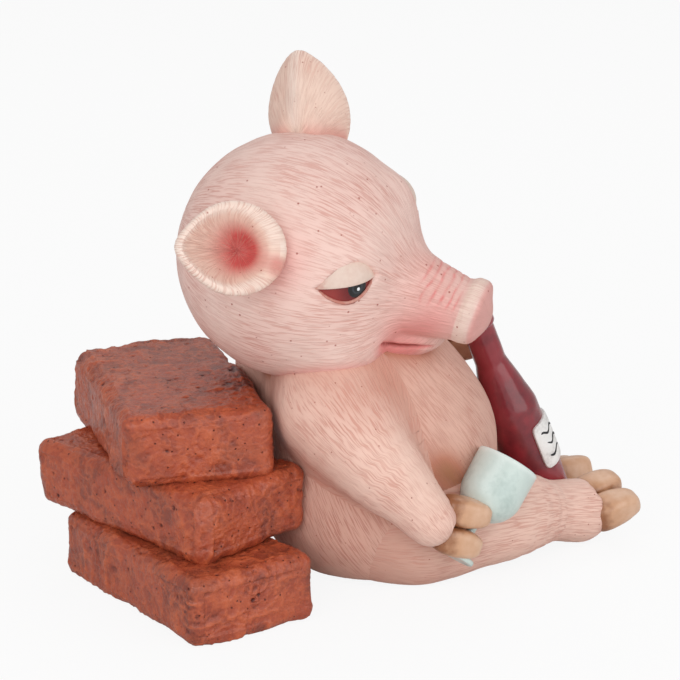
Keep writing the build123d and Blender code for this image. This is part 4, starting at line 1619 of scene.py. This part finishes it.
@dataclass
class Eye:
    """Eyeball, drooping upper lid and lower rim, in the eye's own frame of angles on the ball."""

    side: Side
    head: Head
    gaze: Triple = (0.22, -0.16, 1.0)
    glint: Triple = (0.245, -0.2, 1.0)
    corner_deg: float = 43.0
    lid_t: float = 0.8
    lid_overrun: float = 1.04
    lid_edges_deg: Pair = (1.0, 2.0)
    edge_deg: float = -2.5
    top_deg: float = 28.0
    skew: float = 0.8
    peak: float = 1.13
    power: float = 0.8
    lid_thin: float = 0.25
    lid_lift: float = 0.25
    lid_tuck: float = 0.9
    lid_taper: float = 0.7
    lid_light: float = 0.35
    lid_dark: float = 0.9
    lid_dark_end: float = 2.0
    low_deg: float = 27.0
    bead: float = 0.42
    bead_full: float = 3.0
    bead_lift: float = 0.1
    bead_dark: float = 0.7
    ball_grid: tuple[int, int] = (64, 96)
    lid_grid: tuple[int, int] = (90, 48)
    rim_grid: tuple[int, int] = (80, 20)

    def on_ball(self, across: Array, up: Array, radius: Array) -> Array:
        """Points at angles across and up on a ball of a given radius about the eye's centre.

        Args:
            across: degrees towards the snout.
            up: degrees upwards.
            radius: millimetres from the centre.

        Returns:
            Points in the figure's frame.
        """
        middle, frame_axes = self.head.eye_frame(self.side)
        h, v = np.radians(across), np.radians(up)
        local = np.stack([np.sin(h) * np.cos(v), np.sin(v), np.cos(h) * np.cos(v)], axis=-1)
        return self.head.placed(middle + (local * np.asarray(radius)[..., None]) @ frame_axes.T)

    def ball(self) -> None:
        """Lays the eyeball, with its distances from the iris and from the painted glint."""
        middle, frame_axes = self.head.eye_frame(self.side)
        lean = np.linspace(0, np.pi, self.ball_grid[0])[:, None]
        angle = around(self.ball_grid[1])[None, :]
        x, y = np.sin(lean) * np.cos(angle), np.sin(lean) * np.sin(angle)
        unit_ball = np.stack([x, y, np.cos(lean) + 0 * angle], axis=-1)
        marks = {
            "gaze": self.head.eye_r * ball(unit_ball, unit(self.gaze), 0.0),
            "glint": self.head.eye_r * ball(unit_ball, unit(self.glint), 0.0),
        }
        grid = self.head.placed(middle + self.head.eye_r * unit_ball @ frame_axes.T)
        name = f"{self.side.word}_eyeball"
        add_piece(f"{name}_lacquered", grid, EYE_GLOSS, (name,), marks)

    def lid(self) -> None:
        """Lays the upper lid: a rounded strip on the ball, from a low edge up into the brow."""
        share = np.linspace(-1, 1, self.lid_grid[0])[:, None]
        angle = around(self.lid_grid[1])[None, :]
        across = self.corner_deg * share * self.lid_overrun
        lens = (1 - share**2) * (1 + self.skew * share) / self.peak
        edge = self.edge_deg * lens - self.lid_edges_deg[0]
        tall = self.lid_edges_deg[1] + (self.top_deg - self.edge_deg) * lens**self.power
        swing = (1 - np.cos(angle)) / 2
        thick = self.lid_t * (self.lid_thin + (1 - self.lid_thin) * lens) * np.sin(angle) / 2
        rise = self.lid_lift + self.lid_t / 2 * (1 - self.lid_tuck * swing)
        radius = self.head.eye_r + rise + thick * (1 - self.lid_taper * swing)
        grid = self.on_ball(across + 0 * angle, edge + tall * swing, radius)
        dark = self.lid_dark * (1 - np.clip(lens * self.lid_dark_end, 0, 1))
        relief = self.lid_light - dark + 0 * angle
        name = f"{self.side.word}_eyelid"
        add_piece(f"{name}_upper", grid, LID_CREAM, (name,), {"relief": relief})

    def rim(self) -> None:
        """Lays the lower lid's rim: a thin round bead along the low edge of the eye."""
        share = np.linspace(-1, 1, self.rim_grid[0])[:, None]
        angle = around(self.rim_grid[1])[None, :]
        lens = 1 - share**2
        bead = self.bead * np.sqrt(np.clip(lens * self.bead_full, 0, 1))
        up = -self.low_deg * lens + np.degrees(bead / self.head.eye_r) * np.cos(angle)
        radius = self.head.eye_r + self.bead_lift + bead * np.sin(angle)
        grid = self.on_ball(self.corner_deg * share + 0 * angle, up, radius)
        relief = np.full(up.shape, -self.bead_dark)
        add_piece(f"{self.side.word}_eye_rim", grid, LID_CREAM, (), {"relief": relief})

    def build(self) -> None:
        """Lays ball, lid and rim."""
        self.ball()
        self.lid()
        self.rim()


def spun(profile: Array, columns: int, middle: Array, turned: Array) -> Array:
    """A surface of revolution: a profile of radius and height carried round an axis.

    Args:
        profile: rows of radius and height, first and last on the axis.
        columns: steps round the axis.
        middle: the profile's origin in the figure's frame.
        turned: matrix whose third column is the axis.

    Returns:
        A grid of points.
    """
    angle = around(columns)[None, :]
    radius, height = profile[:, :1], profile[:, 1:]
    local = np.stack([radius * np.cos(angle), radius * np.sin(angle), height + 0 * angle], axis=-1)
    return middle + local @ turned.T


def rounded_profile(corners: list[Triple], spacing: float, arc_rows: int = 9) -> Array:
    """A line of radius and height through corners, each rounded by an arc, sampled evenly.

    Args:
        corners: radius, height and rounding at each corner.
        spacing: millimetres between samples.
        arc_rows: points along each arc.

    Returns:
        Rows of radius and height.
    """
    points = np.array(corners, float)
    t = np.linspace(0, 1, arc_rows)[:, None]
    line = [points[:1, :2]]
    for before, here, after in zip(points[:-2], points[1:-1], points[2:]):
        into, out = unit(before[:2] - here[:2]), unit(after[:2] - here[:2])
        half = np.arccos(np.clip(into @ out, -1, 1)) / 2
        back = here[2] / np.tan(half) if here[2] else 0.0
        a, b = here[:2] + into * back, here[:2] + out * back
        line.append((1 - t) ** 2 * a + 2 * t * (1 - t) * here[:2] + t**2 * b)
    line.append(points[-1:, :2])
    joined = np.concatenate(line)
    length = np.linalg.norm(np.diff(joined, axis=0), axis=1).sum()
    return resampled(joined, int(length / spacing))


@dataclass
class Bottle:
    """The bottle with its raised label and the label's brush strokes.

    Each stroke has a height on the label, a start and a stop across it, and a number of waves.
    """

    foot: Triple = (50.75, 0.0, 3.6)
    lean_deg: float = 23.0
    body_r: float = 7.5
    length: float = 63.0
    body: float = 35.0
    shoulder: float = 14.0
    neck_r: float = 4.1
    lip_r: float = 4.8
    lip: float = 3.2
    base_round: float = 1.4
    shoulder_round: float = 9.0
    neck_round: float = 6.0
    lip_rounds: Triple = (0.3, 0.6, 0.8)
    spacing: float = 0.45
    columns: int = 120
    wave: Lumps = Lumps(0.16, 7.0, 21)
    ripple: Lumps = Lumps(0.04, 2.0, 22)
    wave_relief: float = 3.0
    label_turn_deg: float = -38.0
    label_rise: float = 23.0
    label_size: Pair = (12.5, 13.0)
    label_t: float = 0.95
    label_back: float = -0.2
    label_spread: float = 0.45
    label_edge: float = 0.25
    label_corners: float = 8.0
    label_grid: tuple[int, int] = (64, 160)
    label_lumps: Lumps = Lumps(0.07, 3.0, 31)
    label_relief: float = 4.0
    strokes: tuple[Span, ...] = ((3.4, -4.6, 1.6, 1.5), (0.2, -3.8, 2.4, 1.5), (-3.0, -4.2, 1.0, 1.0))
    stroke_r: float = 0.36
    stroke_wave: float = 0.55
    stroke_flat: float = 0.3
    stroke_ends: int = 6
    stroke_grid: tuple[int, int] = (60, 14)

    @property
    def turned(self) -> Array:
        """Axes of the bottle: Z from its base to its mouth."""
        return turn(0, -self.lean_deg, 0)

    def skin(self, p: Array) -> Array:
        """Distance outside the bottle, as a chain of rods.

        Args:
            p: points.

        Returns:
            One distance for each point, negative inside.
        """
        rises = np.array([self.body_r, self.body, self.body + self.shoulder, self.length])
        path = np.array(self.foot) + np.outer(rises, self.turned[:, 2])
        return bone(p, path, np.array([self.body_r, self.body_r, self.neck_r, self.neck_r]))

    def lay_bottle(self) -> None:
        """Lays the bottle: a turned profile, a little uneven as brushed paint is."""
        neck = self.body + self.shoulder
        under_lip = self.length - self.lip
        low, under, over = self.lip_rounds
        corners = [
            (0, 0, 0), (self.body_r, 0, self.base_round), (self.body_r, self.body, self.shoulder_round),
            (self.neck_r, neck, self.neck_round), (self.neck_r, under_lip, low),
            (self.lip_r, under_lip, under), (self.lip_r, self.length, over), (0, self.length, 0),
        ]
        profile = rounded_profile(corners, self.spacing)
        grid = spun(profile, self.columns, np.array(self.foot), self.turned)
        wave = calm_poles(self.wave.on(grid) + self.ripple.on(grid))
        marks = {"relief": wave * self.wave_relief}
        add_piece("bottle_glossed", pushed(grid, wave), BOTTLE_GLOSS, ("bottle",), marks)

    def on_label(self, across: Array, up: Array, proud: Array) -> Array:
        """Points of the label's plane, wrapped round the bottle's body.

        Args:
            across: millimetres round the body from the label's middle.
            up: millimetres along the bottle from the label's middle.
            proud: millimetres outside the bottle's skin.

        Returns:
            Points in the figure's frame.
        """
        angle = np.radians(self.label_turn_deg) + across / self.body_r
        radius = self.body_r + proud
        local = np.stack([radius * np.cos(angle), radius * np.sin(angle), self.label_rise + up], axis=-1)
        return np.array(self.foot) + local @ self.turned.T

    def lay_label(self) -> None:
        """Lays the label: rounded-square rings from its middle, over a soft edge and back underneath."""
        run = np.linspace(0, np.pi, self.label_grid[0])[:, None]
        angle = around(self.label_grid[1])[None, :]
        thick = np.where(run < np.pi / 2, 1, self.label_back) * self.label_t
        proud = thick * np.abs(np.cos(run)) ** self.label_edge
        ring = np.sin(run) ** self.label_spread * squared(angle, self.label_corners)
        across = ring * np.cos(angle) * self.label_size[0] / 2
        up = ring * np.sin(angle) * self.label_size[1] / 2
        uneven = self.label_lumps.on(np.stack([across, up, 0 * up], axis=-1))
        grid = self.on_label(across, up, proud + uneven)
        marks = {"relief": uneven * self.label_relief}
        add_piece("bottle_label_plate", grid, LABEL_WHITE, ("bottle_label",), marks)

    def lay_strokes(self) -> None:
        """Lays the wavy strokes: flat round beads along sine waves, one below the other."""
        run = np.linspace(0, 1, self.stroke_grid[0])[:, None]
        angle = around(self.stroke_grid[1])[None, :]
        bead = self.stroke_r * np.sqrt(np.clip(1 - (2 * run - 1) ** self.stroke_ends, 0, 1))
        proud = self.label_t + self.stroke_flat * bead * np.sin(angle)
        for number, (height, start, stop, waves) in enumerate(self.strokes, 1):
            across = start + (stop - start) * run + 0 * angle
            wave = self.stroke_wave * np.sin(2 * np.pi * waves * run + number)
            up = height + wave + bead * np.cos(angle)
            grid = self.on_label(across, up, proud)
            add_piece(f"label_stroke_{number}", grid, BRUSH_BLACK, (), {"relief": 0 * up})

    def build(self) -> None:
        """Lays bottle, label and strokes."""
        self.lay_bottle()
        self.lay_label()
        self.lay_strokes()


@dataclass
class WineGlass:
    """The little wine glass: a hollow bowl on a stem, and a foot below the trotter that holds it."""

    hand: Trotter
    grip: Triple = (-2.25, -3.62, 12.75)
    lean_deg: float = 39.0
    swing_deg: float = 14.0
    grip_rise: float = 6.5
    bowl_r: float = 8.0
    bowl_low_deg: float = -80.0
    depth: float = 16.0
    wall: float = 0.9
    stem_r: float = 1.2
    stem: float = 11.0
    stem_sunk: float = 0.5
    flare: float = 1.4
    flare_rise: float = 1.5
    foot_r: float = 4.6
    foot_t: float = 1.3
    foot_round: float = 0.5
    foot_dome: float = 1.4
    foot_spacing: float = 0.25
    foot_columns: int = 96
    foot_mottle: Lumps = Lumps(0.4, 3.0, 42)
    wave: Lumps = Lumps(0.1, 5.0, 41)
    wave_relief: float = 3.0
    # Painted highlight along the rim: how strong and how wide.
    rim_highlight: float = 0.9
    rim_band: float = 0.8
    arc_rows: int = 30
    brim_rows: int = 9
    rows: int = 150
    columns: int = 120

    @property
    def turned(self) -> Array:
        """Axes of the glass: Z from its foot to its rim."""
        return turn(self.swing_deg, self.lean_deg, 0)

    @property
    def foot(self) -> Array:
        """Middle of the foot's underside."""
        return self.hand.placed(np.array(self.grip)) - self.grip_rise * self.turned[:, 2]

    def profile(self) -> Array:
        """Radius and height from the stem's foot up outside the bowl, over its brim and down inside.

        Returns:
            Evenly spaced rows, first and last on the axis.
        """
        middle = self.stem + self.bowl_r
        half = self.wall / 2
        start = self.foot_t - self.stem_sunk
        stem = [
            (0, start), (self.stem_r, start), (self.stem_r, self.stem - self.flare_rise),
            (self.stem_r * self.flare, self.stem),
        ]
        low = np.linspace(np.radians(self.bowl_low_deg), 0, self.arc_rows)[2:]
        over = np.linspace(0, np.pi, self.brim_rows)
        down = np.linspace(0, -np.pi / 2, self.arc_rows)
        arcs = (
            (0.0, middle, self.bowl_r, low),
            (self.bowl_r - half, self.stem + self.depth, half, over),
            (0.0, middle, self.bowl_r - self.wall, down),
        )
        curves = [np.stack([x + r * np.cos(t), z + r * np.sin(t)], axis=1) for x, z, r, t in arcs]
        line = np.concatenate([stem, *curves])
        line[-1, 0] = 0
        return resampled(line, self.rows)

    def build(self) -> None:
        """Lays the bowl with its stem, and the foot."""
        profile = self.profile()
        grid = spun(profile, self.columns, self.foot, self.turned)
        wave = calm_poles(self.wave.on(grid))
        # Painted highlight: lighter along the rim.
        rim = bell(profile[:, 1] - self.stem - self.depth, self.rim_band)[:, None]
        marks = {"relief": wave * self.wave_relief + self.rim_highlight * rim}
        add_piece("wine_glass_bowl", pushed(grid, wave), GLASS_MINT, ("glass_bowl",), marks)
        corners = [
            (0, 0, 0), (self.foot_r, 0, self.foot_round), (self.foot_r, self.foot_t, self.foot_round),
            (0, self.foot_t * self.foot_dome, 0),
        ]
        outline = rounded_profile(corners, self.foot_spacing)
        disc = spun(outline, self.foot_columns, self.foot, self.turned)
        marks = {"relief": self.foot_mottle.on(disc)}
        add_piece("wine_glass_foot", disc, GLASS_MINT, ("glass_foot",), marks)


@dataclass(frozen=True)
class Ridges:
    """Sharp ridges along the level lines of soft lumps: how sharp, how far sunk and how high."""

    lumps: Lumps
    sharp: int
    level: float
    high: float

    def on(self, points: Array, more: int) -> Array:
        """Their height at each point, of a pattern that many numbers on."""
        return self.high * ((1 - np.abs(self.lumps.on(points, more))) ** self.sharp - self.level)


@dataclass
class Brick:
    """One rough brick: a box carried along its length, rounded, then beaten out of true and pitted."""

    name: str
    middle: Triple
    yaw_deg: float
    size: Triple
    seed: int
    nodes: tuple[str, ...]
    # Spots of painted shade, where other pieces lie on the brick.
    painted_shade: tuple[Spot, ...] = ()
    rounding: float = 2.8
    flat_limit: float = 0.999
    wear: Lumps = Lumps(0.35, 9.0, 1)
    warp: Lumps = Lumps(0.5, 13.0, 0)
    bends: tuple[Lumps, ...] = (Lumps(1.5, 6.0, 11), Lumps(1.5, 6.0, 12), Lumps(1.5, 6.0, 13))
    ridges: Ridges = Ridges(Lumps(1.0, 6.0, 2), 3, 0.3, 0.42)
    hewn: Ridges = Ridges(Lumps(1.0, 2.2, 3), 2, 0.4, 0.34)
    rough: Lumps = Lumps(1.0, 14.0, 4)
    rough_span: Pair = (-0.3, 0.5)
    rough_least: float = 0.35
    pit_mm: float = 5.0
    pit_r: float = 0.15
    pit_depth: float = 0.7
    pit_seed: int = 5
    fine_mm: float = 1.1
    fine_high: float = 0.13
    fine_seed: int = 9
    fine_layers: int = 2
    proud: float = 0.1
    relief_gain: float = 2.2
    rows: tuple[int, int] = (36, 180)
    columns: int = 300

    def box(self) -> Array:
        """The sharp box: rings of its outline along its length, drawn in to the middle of each end.

        Returns:
            A grid of points about the box's centre.
        """
        length, width, height = self.size
        lengths = np.concatenate([[0], np.cumsum([width, height, width, height])])
        at = np.linspace(0, lengths[-1], self.columns, endpoint=False)
        y = np.interp(at, lengths, np.array([-1, 1, 1, -1, -1]) * width / 2)
        z = np.interp(at, lengths, np.array([-1, -1, 1, 1, -1]) * height / 2)
        grow = np.linspace(0, 1, self.rows[0])[:-1]
        scale = np.concatenate([grow, np.ones(self.rows[1]), grow[::-1]])[:, None]
        ends = np.ones(len(grow))
        along = np.concatenate([-ends, np.linspace(-1, 1, self.rows[1]), ends])[:, None]
        return np.stack([along * length / 2 + 0 * at, scale * y, scale * z], axis=-1)

    def build(self) -> None:
        """Lays the brick: rounded, warped, hammered with shallow scallops and dotted with pits."""
        inner = np.array(self.size) / 2 - self.rounding
        sharp = self.box()
        core = np.clip(sharp, -inner, inner)
        ways = unit(sharp - core)
        worn = self.rounding * (1 + self.wear.on(core, self.seed))
        flat = np.max(np.abs(ways), axis=-1) > self.flat_limit
        grid = np.where(flat[..., None], sharp, core + worn[..., None] * ways)
        bent = grid + np.stack([bend.on(grid, self.seed) for bend in self.bends], axis=-1)
        rough = ease(self.rough.on(grid, self.seed), *self.rough_span)
        rough = self.rough_least + (1 - self.rough_least) * rough
        pits = np.clip(1 - dimples(grid / self.pit_mm, self.seed + self.pit_seed) / self.pit_r, 0, 1)
        fine = layered_noise(grid / self.fine_mm, self.seed + self.fine_seed, self.fine_layers)
        relief = (self.ridges.on(bent, self.seed) + self.hewn.on(bent, self.seed)) * rough
        relief = relief + fine * self.fine_high - pits * self.pit_depth
        shift = calm_poles(self.warp.on(grid, self.seed) + relief + self.proud, 1)
        world = np.array(self.middle) + (grid + shift[..., None] * ways) @ turn(self.yaw_deg, 0, 0).T
        # Painted shade: darker where the shade spots lie.
        mark = np.clip(relief * self.relief_gain - sprayed(world, self.painted_shade), -1, 1)
        world[..., 2] = np.maximum(world[..., 2], 0.0)
        add_piece(f"{self.name}_cast", world, BRICK_CLAY, self.nodes, {"relief": mark})


@dataclass(frozen=True)
class Lamp:
    """A square soft light: where it stands round the figure, its side in metres and its power."""

    name: str
    azimuth_deg: float
    elevation_deg: float
    side_m: float
    watts: float


@dataclass
class Studio:
    """White table and backdrop, soft lights, and a camera at the photograph's angle."""

    aim: Triple = (-21.4, -21.6, 66.8)
    azimuth_deg: float = -25.0
    elevation_deg: float = 16.77
    distance: float = 600.0
    focal_px: float = 2500.0
    picture_px: float = 680.0
    sensor_mm: float = 36.0
    lamp_distance: float = 900.0
    lamps: tuple[Lamp, ...] = (
        Lamp("key", -48.0, 28.0, 0.7, 3.4),
        Lamp("fill", 25.0, 16.0, 0.9, 3.2),
        Lamp("back", 150.0, 50.0, 0.7, 1.2),
    )
    white: str = "#FFFFFF"
    paper: str = "#E6E6E6"
    paper_roughness: float = 0.9
    paper_shine: float = 0.1
    paper_white: float = 0.9
    glow: float = 0.52
    table_half: float = 3000.0
    table_drop: float = 0.2

    def stand(self, thing: bpy.types.Object, azimuth: float, elevation: float, distance: float) -> None:
        """Puts a lamp or a camera somewhere round the figure, facing it.

        Args:
            thing: the lamp or camera.
            azimuth: degrees round the figure.
            elevation: degrees above the table.
            distance: millimetres from what it faces.
        """
        a, e = np.radians([azimuth, elevation])
        back = Vector((np.sin(a) * np.cos(e), -np.cos(a) * np.cos(e), np.sin(e)))
        thing.location = (Vector(self.aim) + back * distance) * METRES
        thing.rotation_euler = (-back).to_track_quat("-Z", "Y").to_euler()

    def set_camera(self) -> None:
        """Sets the camera."""
        data = bpy.data.cameras.new("camera")
        data.sensor_width = self.sensor_mm
        data.lens = self.sensor_mm * self.focal_px / self.picture_px
        camera = new_object("camera", data)
        self.stand(camera, self.azimuth_deg, self.elevation_deg, self.distance)
        bpy.context.scene.camera = camera

    def set_lamps(self) -> None:
        """Sets the lamps."""
        for lamp in self.lamps:
            data = bpy.data.lights.new(lamp.name, "AREA")
            data.size = lamp.side_m
            data.energy = lamp.watts
            thing = new_object(lamp.name, data)
            self.stand(thing, lamp.azimuth_deg, lamp.elevation_deg, self.lamp_distance)

    def set_world(self) -> None:
        """White to the camera, also through clear things, and an even soft glow to everything else."""
        world = bpy.data.worlds.new("white_studio")
        world.use_nodes = True
        tree = world.node_tree
        tree.nodes.clear()
        direct = add_node(tree, "LightPath", out="Is Camera Ray")
        through = direct.node.outputs["Is Transmission Ray"]
        seen = add_node(tree, "Math", {0: direct, 1: through}, operation="MAXIMUM")
        glow, white = (
            add_node(tree, "Background", {"Color": paint(self.white), "Strength": strength})
            for strength in (self.glow, 1.0)
        )
        mixed = add_node(tree, "MixShader", {0: seen, 1: glow, 2: white})
        add_node(tree, "OutputWorld", {"Surface": mixed})
        bpy.context.scene.world = world

    def set_table(self) -> None:
        """A wide white table that keeps a soft shadow of the figure."""
        half = self.table_half * METRES
        corners = [(-half, -half, 0), (half, -half, 0), (half, half, 0), (-half, half, 0)]
        mesh = bpy.data.meshes.new("table")
        mesh.from_pydata(corners, [], [(0, 1, 2, 3)])
        material, tree = blank_material("white_paper_sweep")
        sockets = {"Roughness": self.paper_roughness, "Specular IOR Level": self.paper_shine}
        shader = add_node(tree, "BsdfPrincipled", {"Base Color": paint(self.paper), **sockets})
        direct = add_node(tree, "LightPath", out="Is Camera Ray")
        seen = add_node(tree, "Math", {0: direct, 1: self.paper_white}, operation="MULTIPLY")
        white = add_node(tree, "Emission", {"Color": paint(self.white), "Strength": 1.0})
        mixed = add_node(tree, "MixShader", {0: seen, 1: shader, 2: white})
        add_node(tree, "OutputMaterial", {"Surface": mixed})
        mesh.materials.append(material)
        table = new_object("table", mesh)
        table.location = (0, 0, -self.table_drop * METRES)

    def build(self) -> None:
        """Sets camera, world, table and lamps."""
        self.set_camera()
        self.set_world()
        self.set_table()
        self.set_lamps()
        bpy.context.scene.view_settings.view_transform = "Standard"


def limbs() -> dict[str, Limb]:
    """The four limbs, with the legs mirrored but for the tilt of their trotters.

    Returns:
        Limbs by the name of the solid that each stands for.
    """
    right_arm = Limb(
        name="right_arm",
        points=((-20.5, -16.0, 48.0), (-14.0, -27.8, 36.0), (-8.2, -33.2, 28.6), (-4.0, -36.3, 23.0)),
        radii=(14.0, 10.4, 7.7, 6.5),
        fillet=3.0,
        way=(0.90, -0.10, -0.32),
    )
    left_arm = Limb(
        name="left_arm",
        points=((-18.6, 18.6, 48.4), (6.0, 29.4, 41.2), (18.6, 25.2, 47.2), (25.2, 20.7, 50.2)),
        radii=(12.5, 10.0, 7.4, 7.2),
        fillet=4.0,
        way=(0.48, -0.82, 0.30),
    )
    leg_points = ((3.6, 16.8, 13.5), (25.2, 17.5, 13.3), (41.1, 13.7, 10.4), (51.5, 12.0, 8.3))
    leg_ways = {Side.RIGHT: (0.95, -0.02, 0.28), Side.LEFT: (0.95, 0.02, 0.06)}
    legs = [
        Limb(
            name=f"{side.word}_leg",
            points=tuple((x, y * side.value, z) for x, y, z in leg_points),
            radii=(13.5, 12.0, 8.2, 8.4),
            fillet=5.0,
            way=way,
        )
        for side, way in leg_ways.items()
    ]
    return {limb.name: limb for limb in (right_arm, left_arm, *legs)}


def trotters(found: dict[str, Limb]) -> dict[str, Trotter]:
    """The four trotters.

    Args:
        found: the limbs that they grow from, by name.

    Returns:
        Trotters by the name of the solid that each stands for.
    """
    fore = {"length": 13.0, "width": 7.3, "thickness": 9.4, "reach": 8.8}
    hind = {"length": 14.0, "width": 8.4, "thickness": 9.0, "reach": 8.6}
    made = (
        Trotter("right_fore", found["right_arm"], across=(0.30, 0.05, 0.95), **fore),
        Trotter("left_fore", found["left_arm"], across=(-0.30, 0.05, 0.95), **fore),
        Trotter("right_hind", found["right_leg"], across=(0.0, 0.95, 0.30), **hind),
        Trotter("left_hind", found["left_leg"], across=(0.0, -0.95, 0.30), **hind),
    )
    return {f"{trotter.name}_hooves": trotter for trotter in made}


def ears() -> tuple[Ear, ...]:
    """Both ears: the right one faces forwards and up, the left one turns its back to the camera.

    Returns:
        The ears, placed in the head's frame.
    """
    right = Ear(
        side=Side.RIGHT,
        middle=(-5.6, -32.4, 24.9),
        way=(-0.738, -0.638, 0.218),
        face=(0.586, -0.446, 0.677),
    )
    left = Ear(
        side=Side.LEFT,
        middle=(-10.4, 25.9, 21.9),
        way=(-0.475, 0.529, 0.703),
        face=(0.057, 0.816, -0.576),
        tip=16.5,
        half=10.5,
    )
    return right, left


def bricks() -> tuple[Brick, ...]:
    """The three bricks, from the table up.

    Returns:
        The bricks, each with its own turn and pattern.
    """
    bottom = Brick(
        name="brick_bottom",
        middle=(-54.5, -2.67, 8.3),
        yaw_deg=100.2,
        size=(62.0, 34.5, 16.6),
        seed=100,
        nodes=("brick_bottom", "brick_pins"),
    )
    middle = Brick(
        name="brick_middle",
        middle=(-54.15, 8.43, 25.05),
        yaw_deg=110.4,
        size=bottom.size,
        seed=200,
        nodes=("brick_middle",),
    )
    top = Brick(
        name="brick_top",
        middle=(-50.5, 16.4, 41.7),
        yaw_deg=81.8,
        size=(63.0, 37.0, 18.0),
        seed=300,
        nodes=("brick_top",),
        painted_shade=NECK_SHADE,
    )
    return bottom, middle, top


def main() -> None:
    """Builds every sub-assembly in order."""
    logging.basicConfig(level=logging.INFO, format="%(name)s: %(message)s")
    torso, head, bottle = Torso(), Head(), Bottle()
    found = limbs()
    hands = trotters(found)
    limb_skins = [limb.skin for limb in found.values()]
    torso.build([head.placed_skin, bottle.skin, *limb_skins])
    for name, limb in found.items():
        limb.build(torso, (name,), CHIN_SHADE)
    for node, trotter in hands.items():
        trotter.build(node)
    head.build([torso.skin, *limb_skins], FACE_SPRAY)
    for ear in ears():
        ear.build(head)
    for side in Side:
        Eye(side, head).build()
    bottle.build()
    WineGlass(hand=hands["right_fore_hooves"]).build()
    for brick in bricks():
        brick.build()
    Studio().build()


if __name__ == "__main__":
    main()
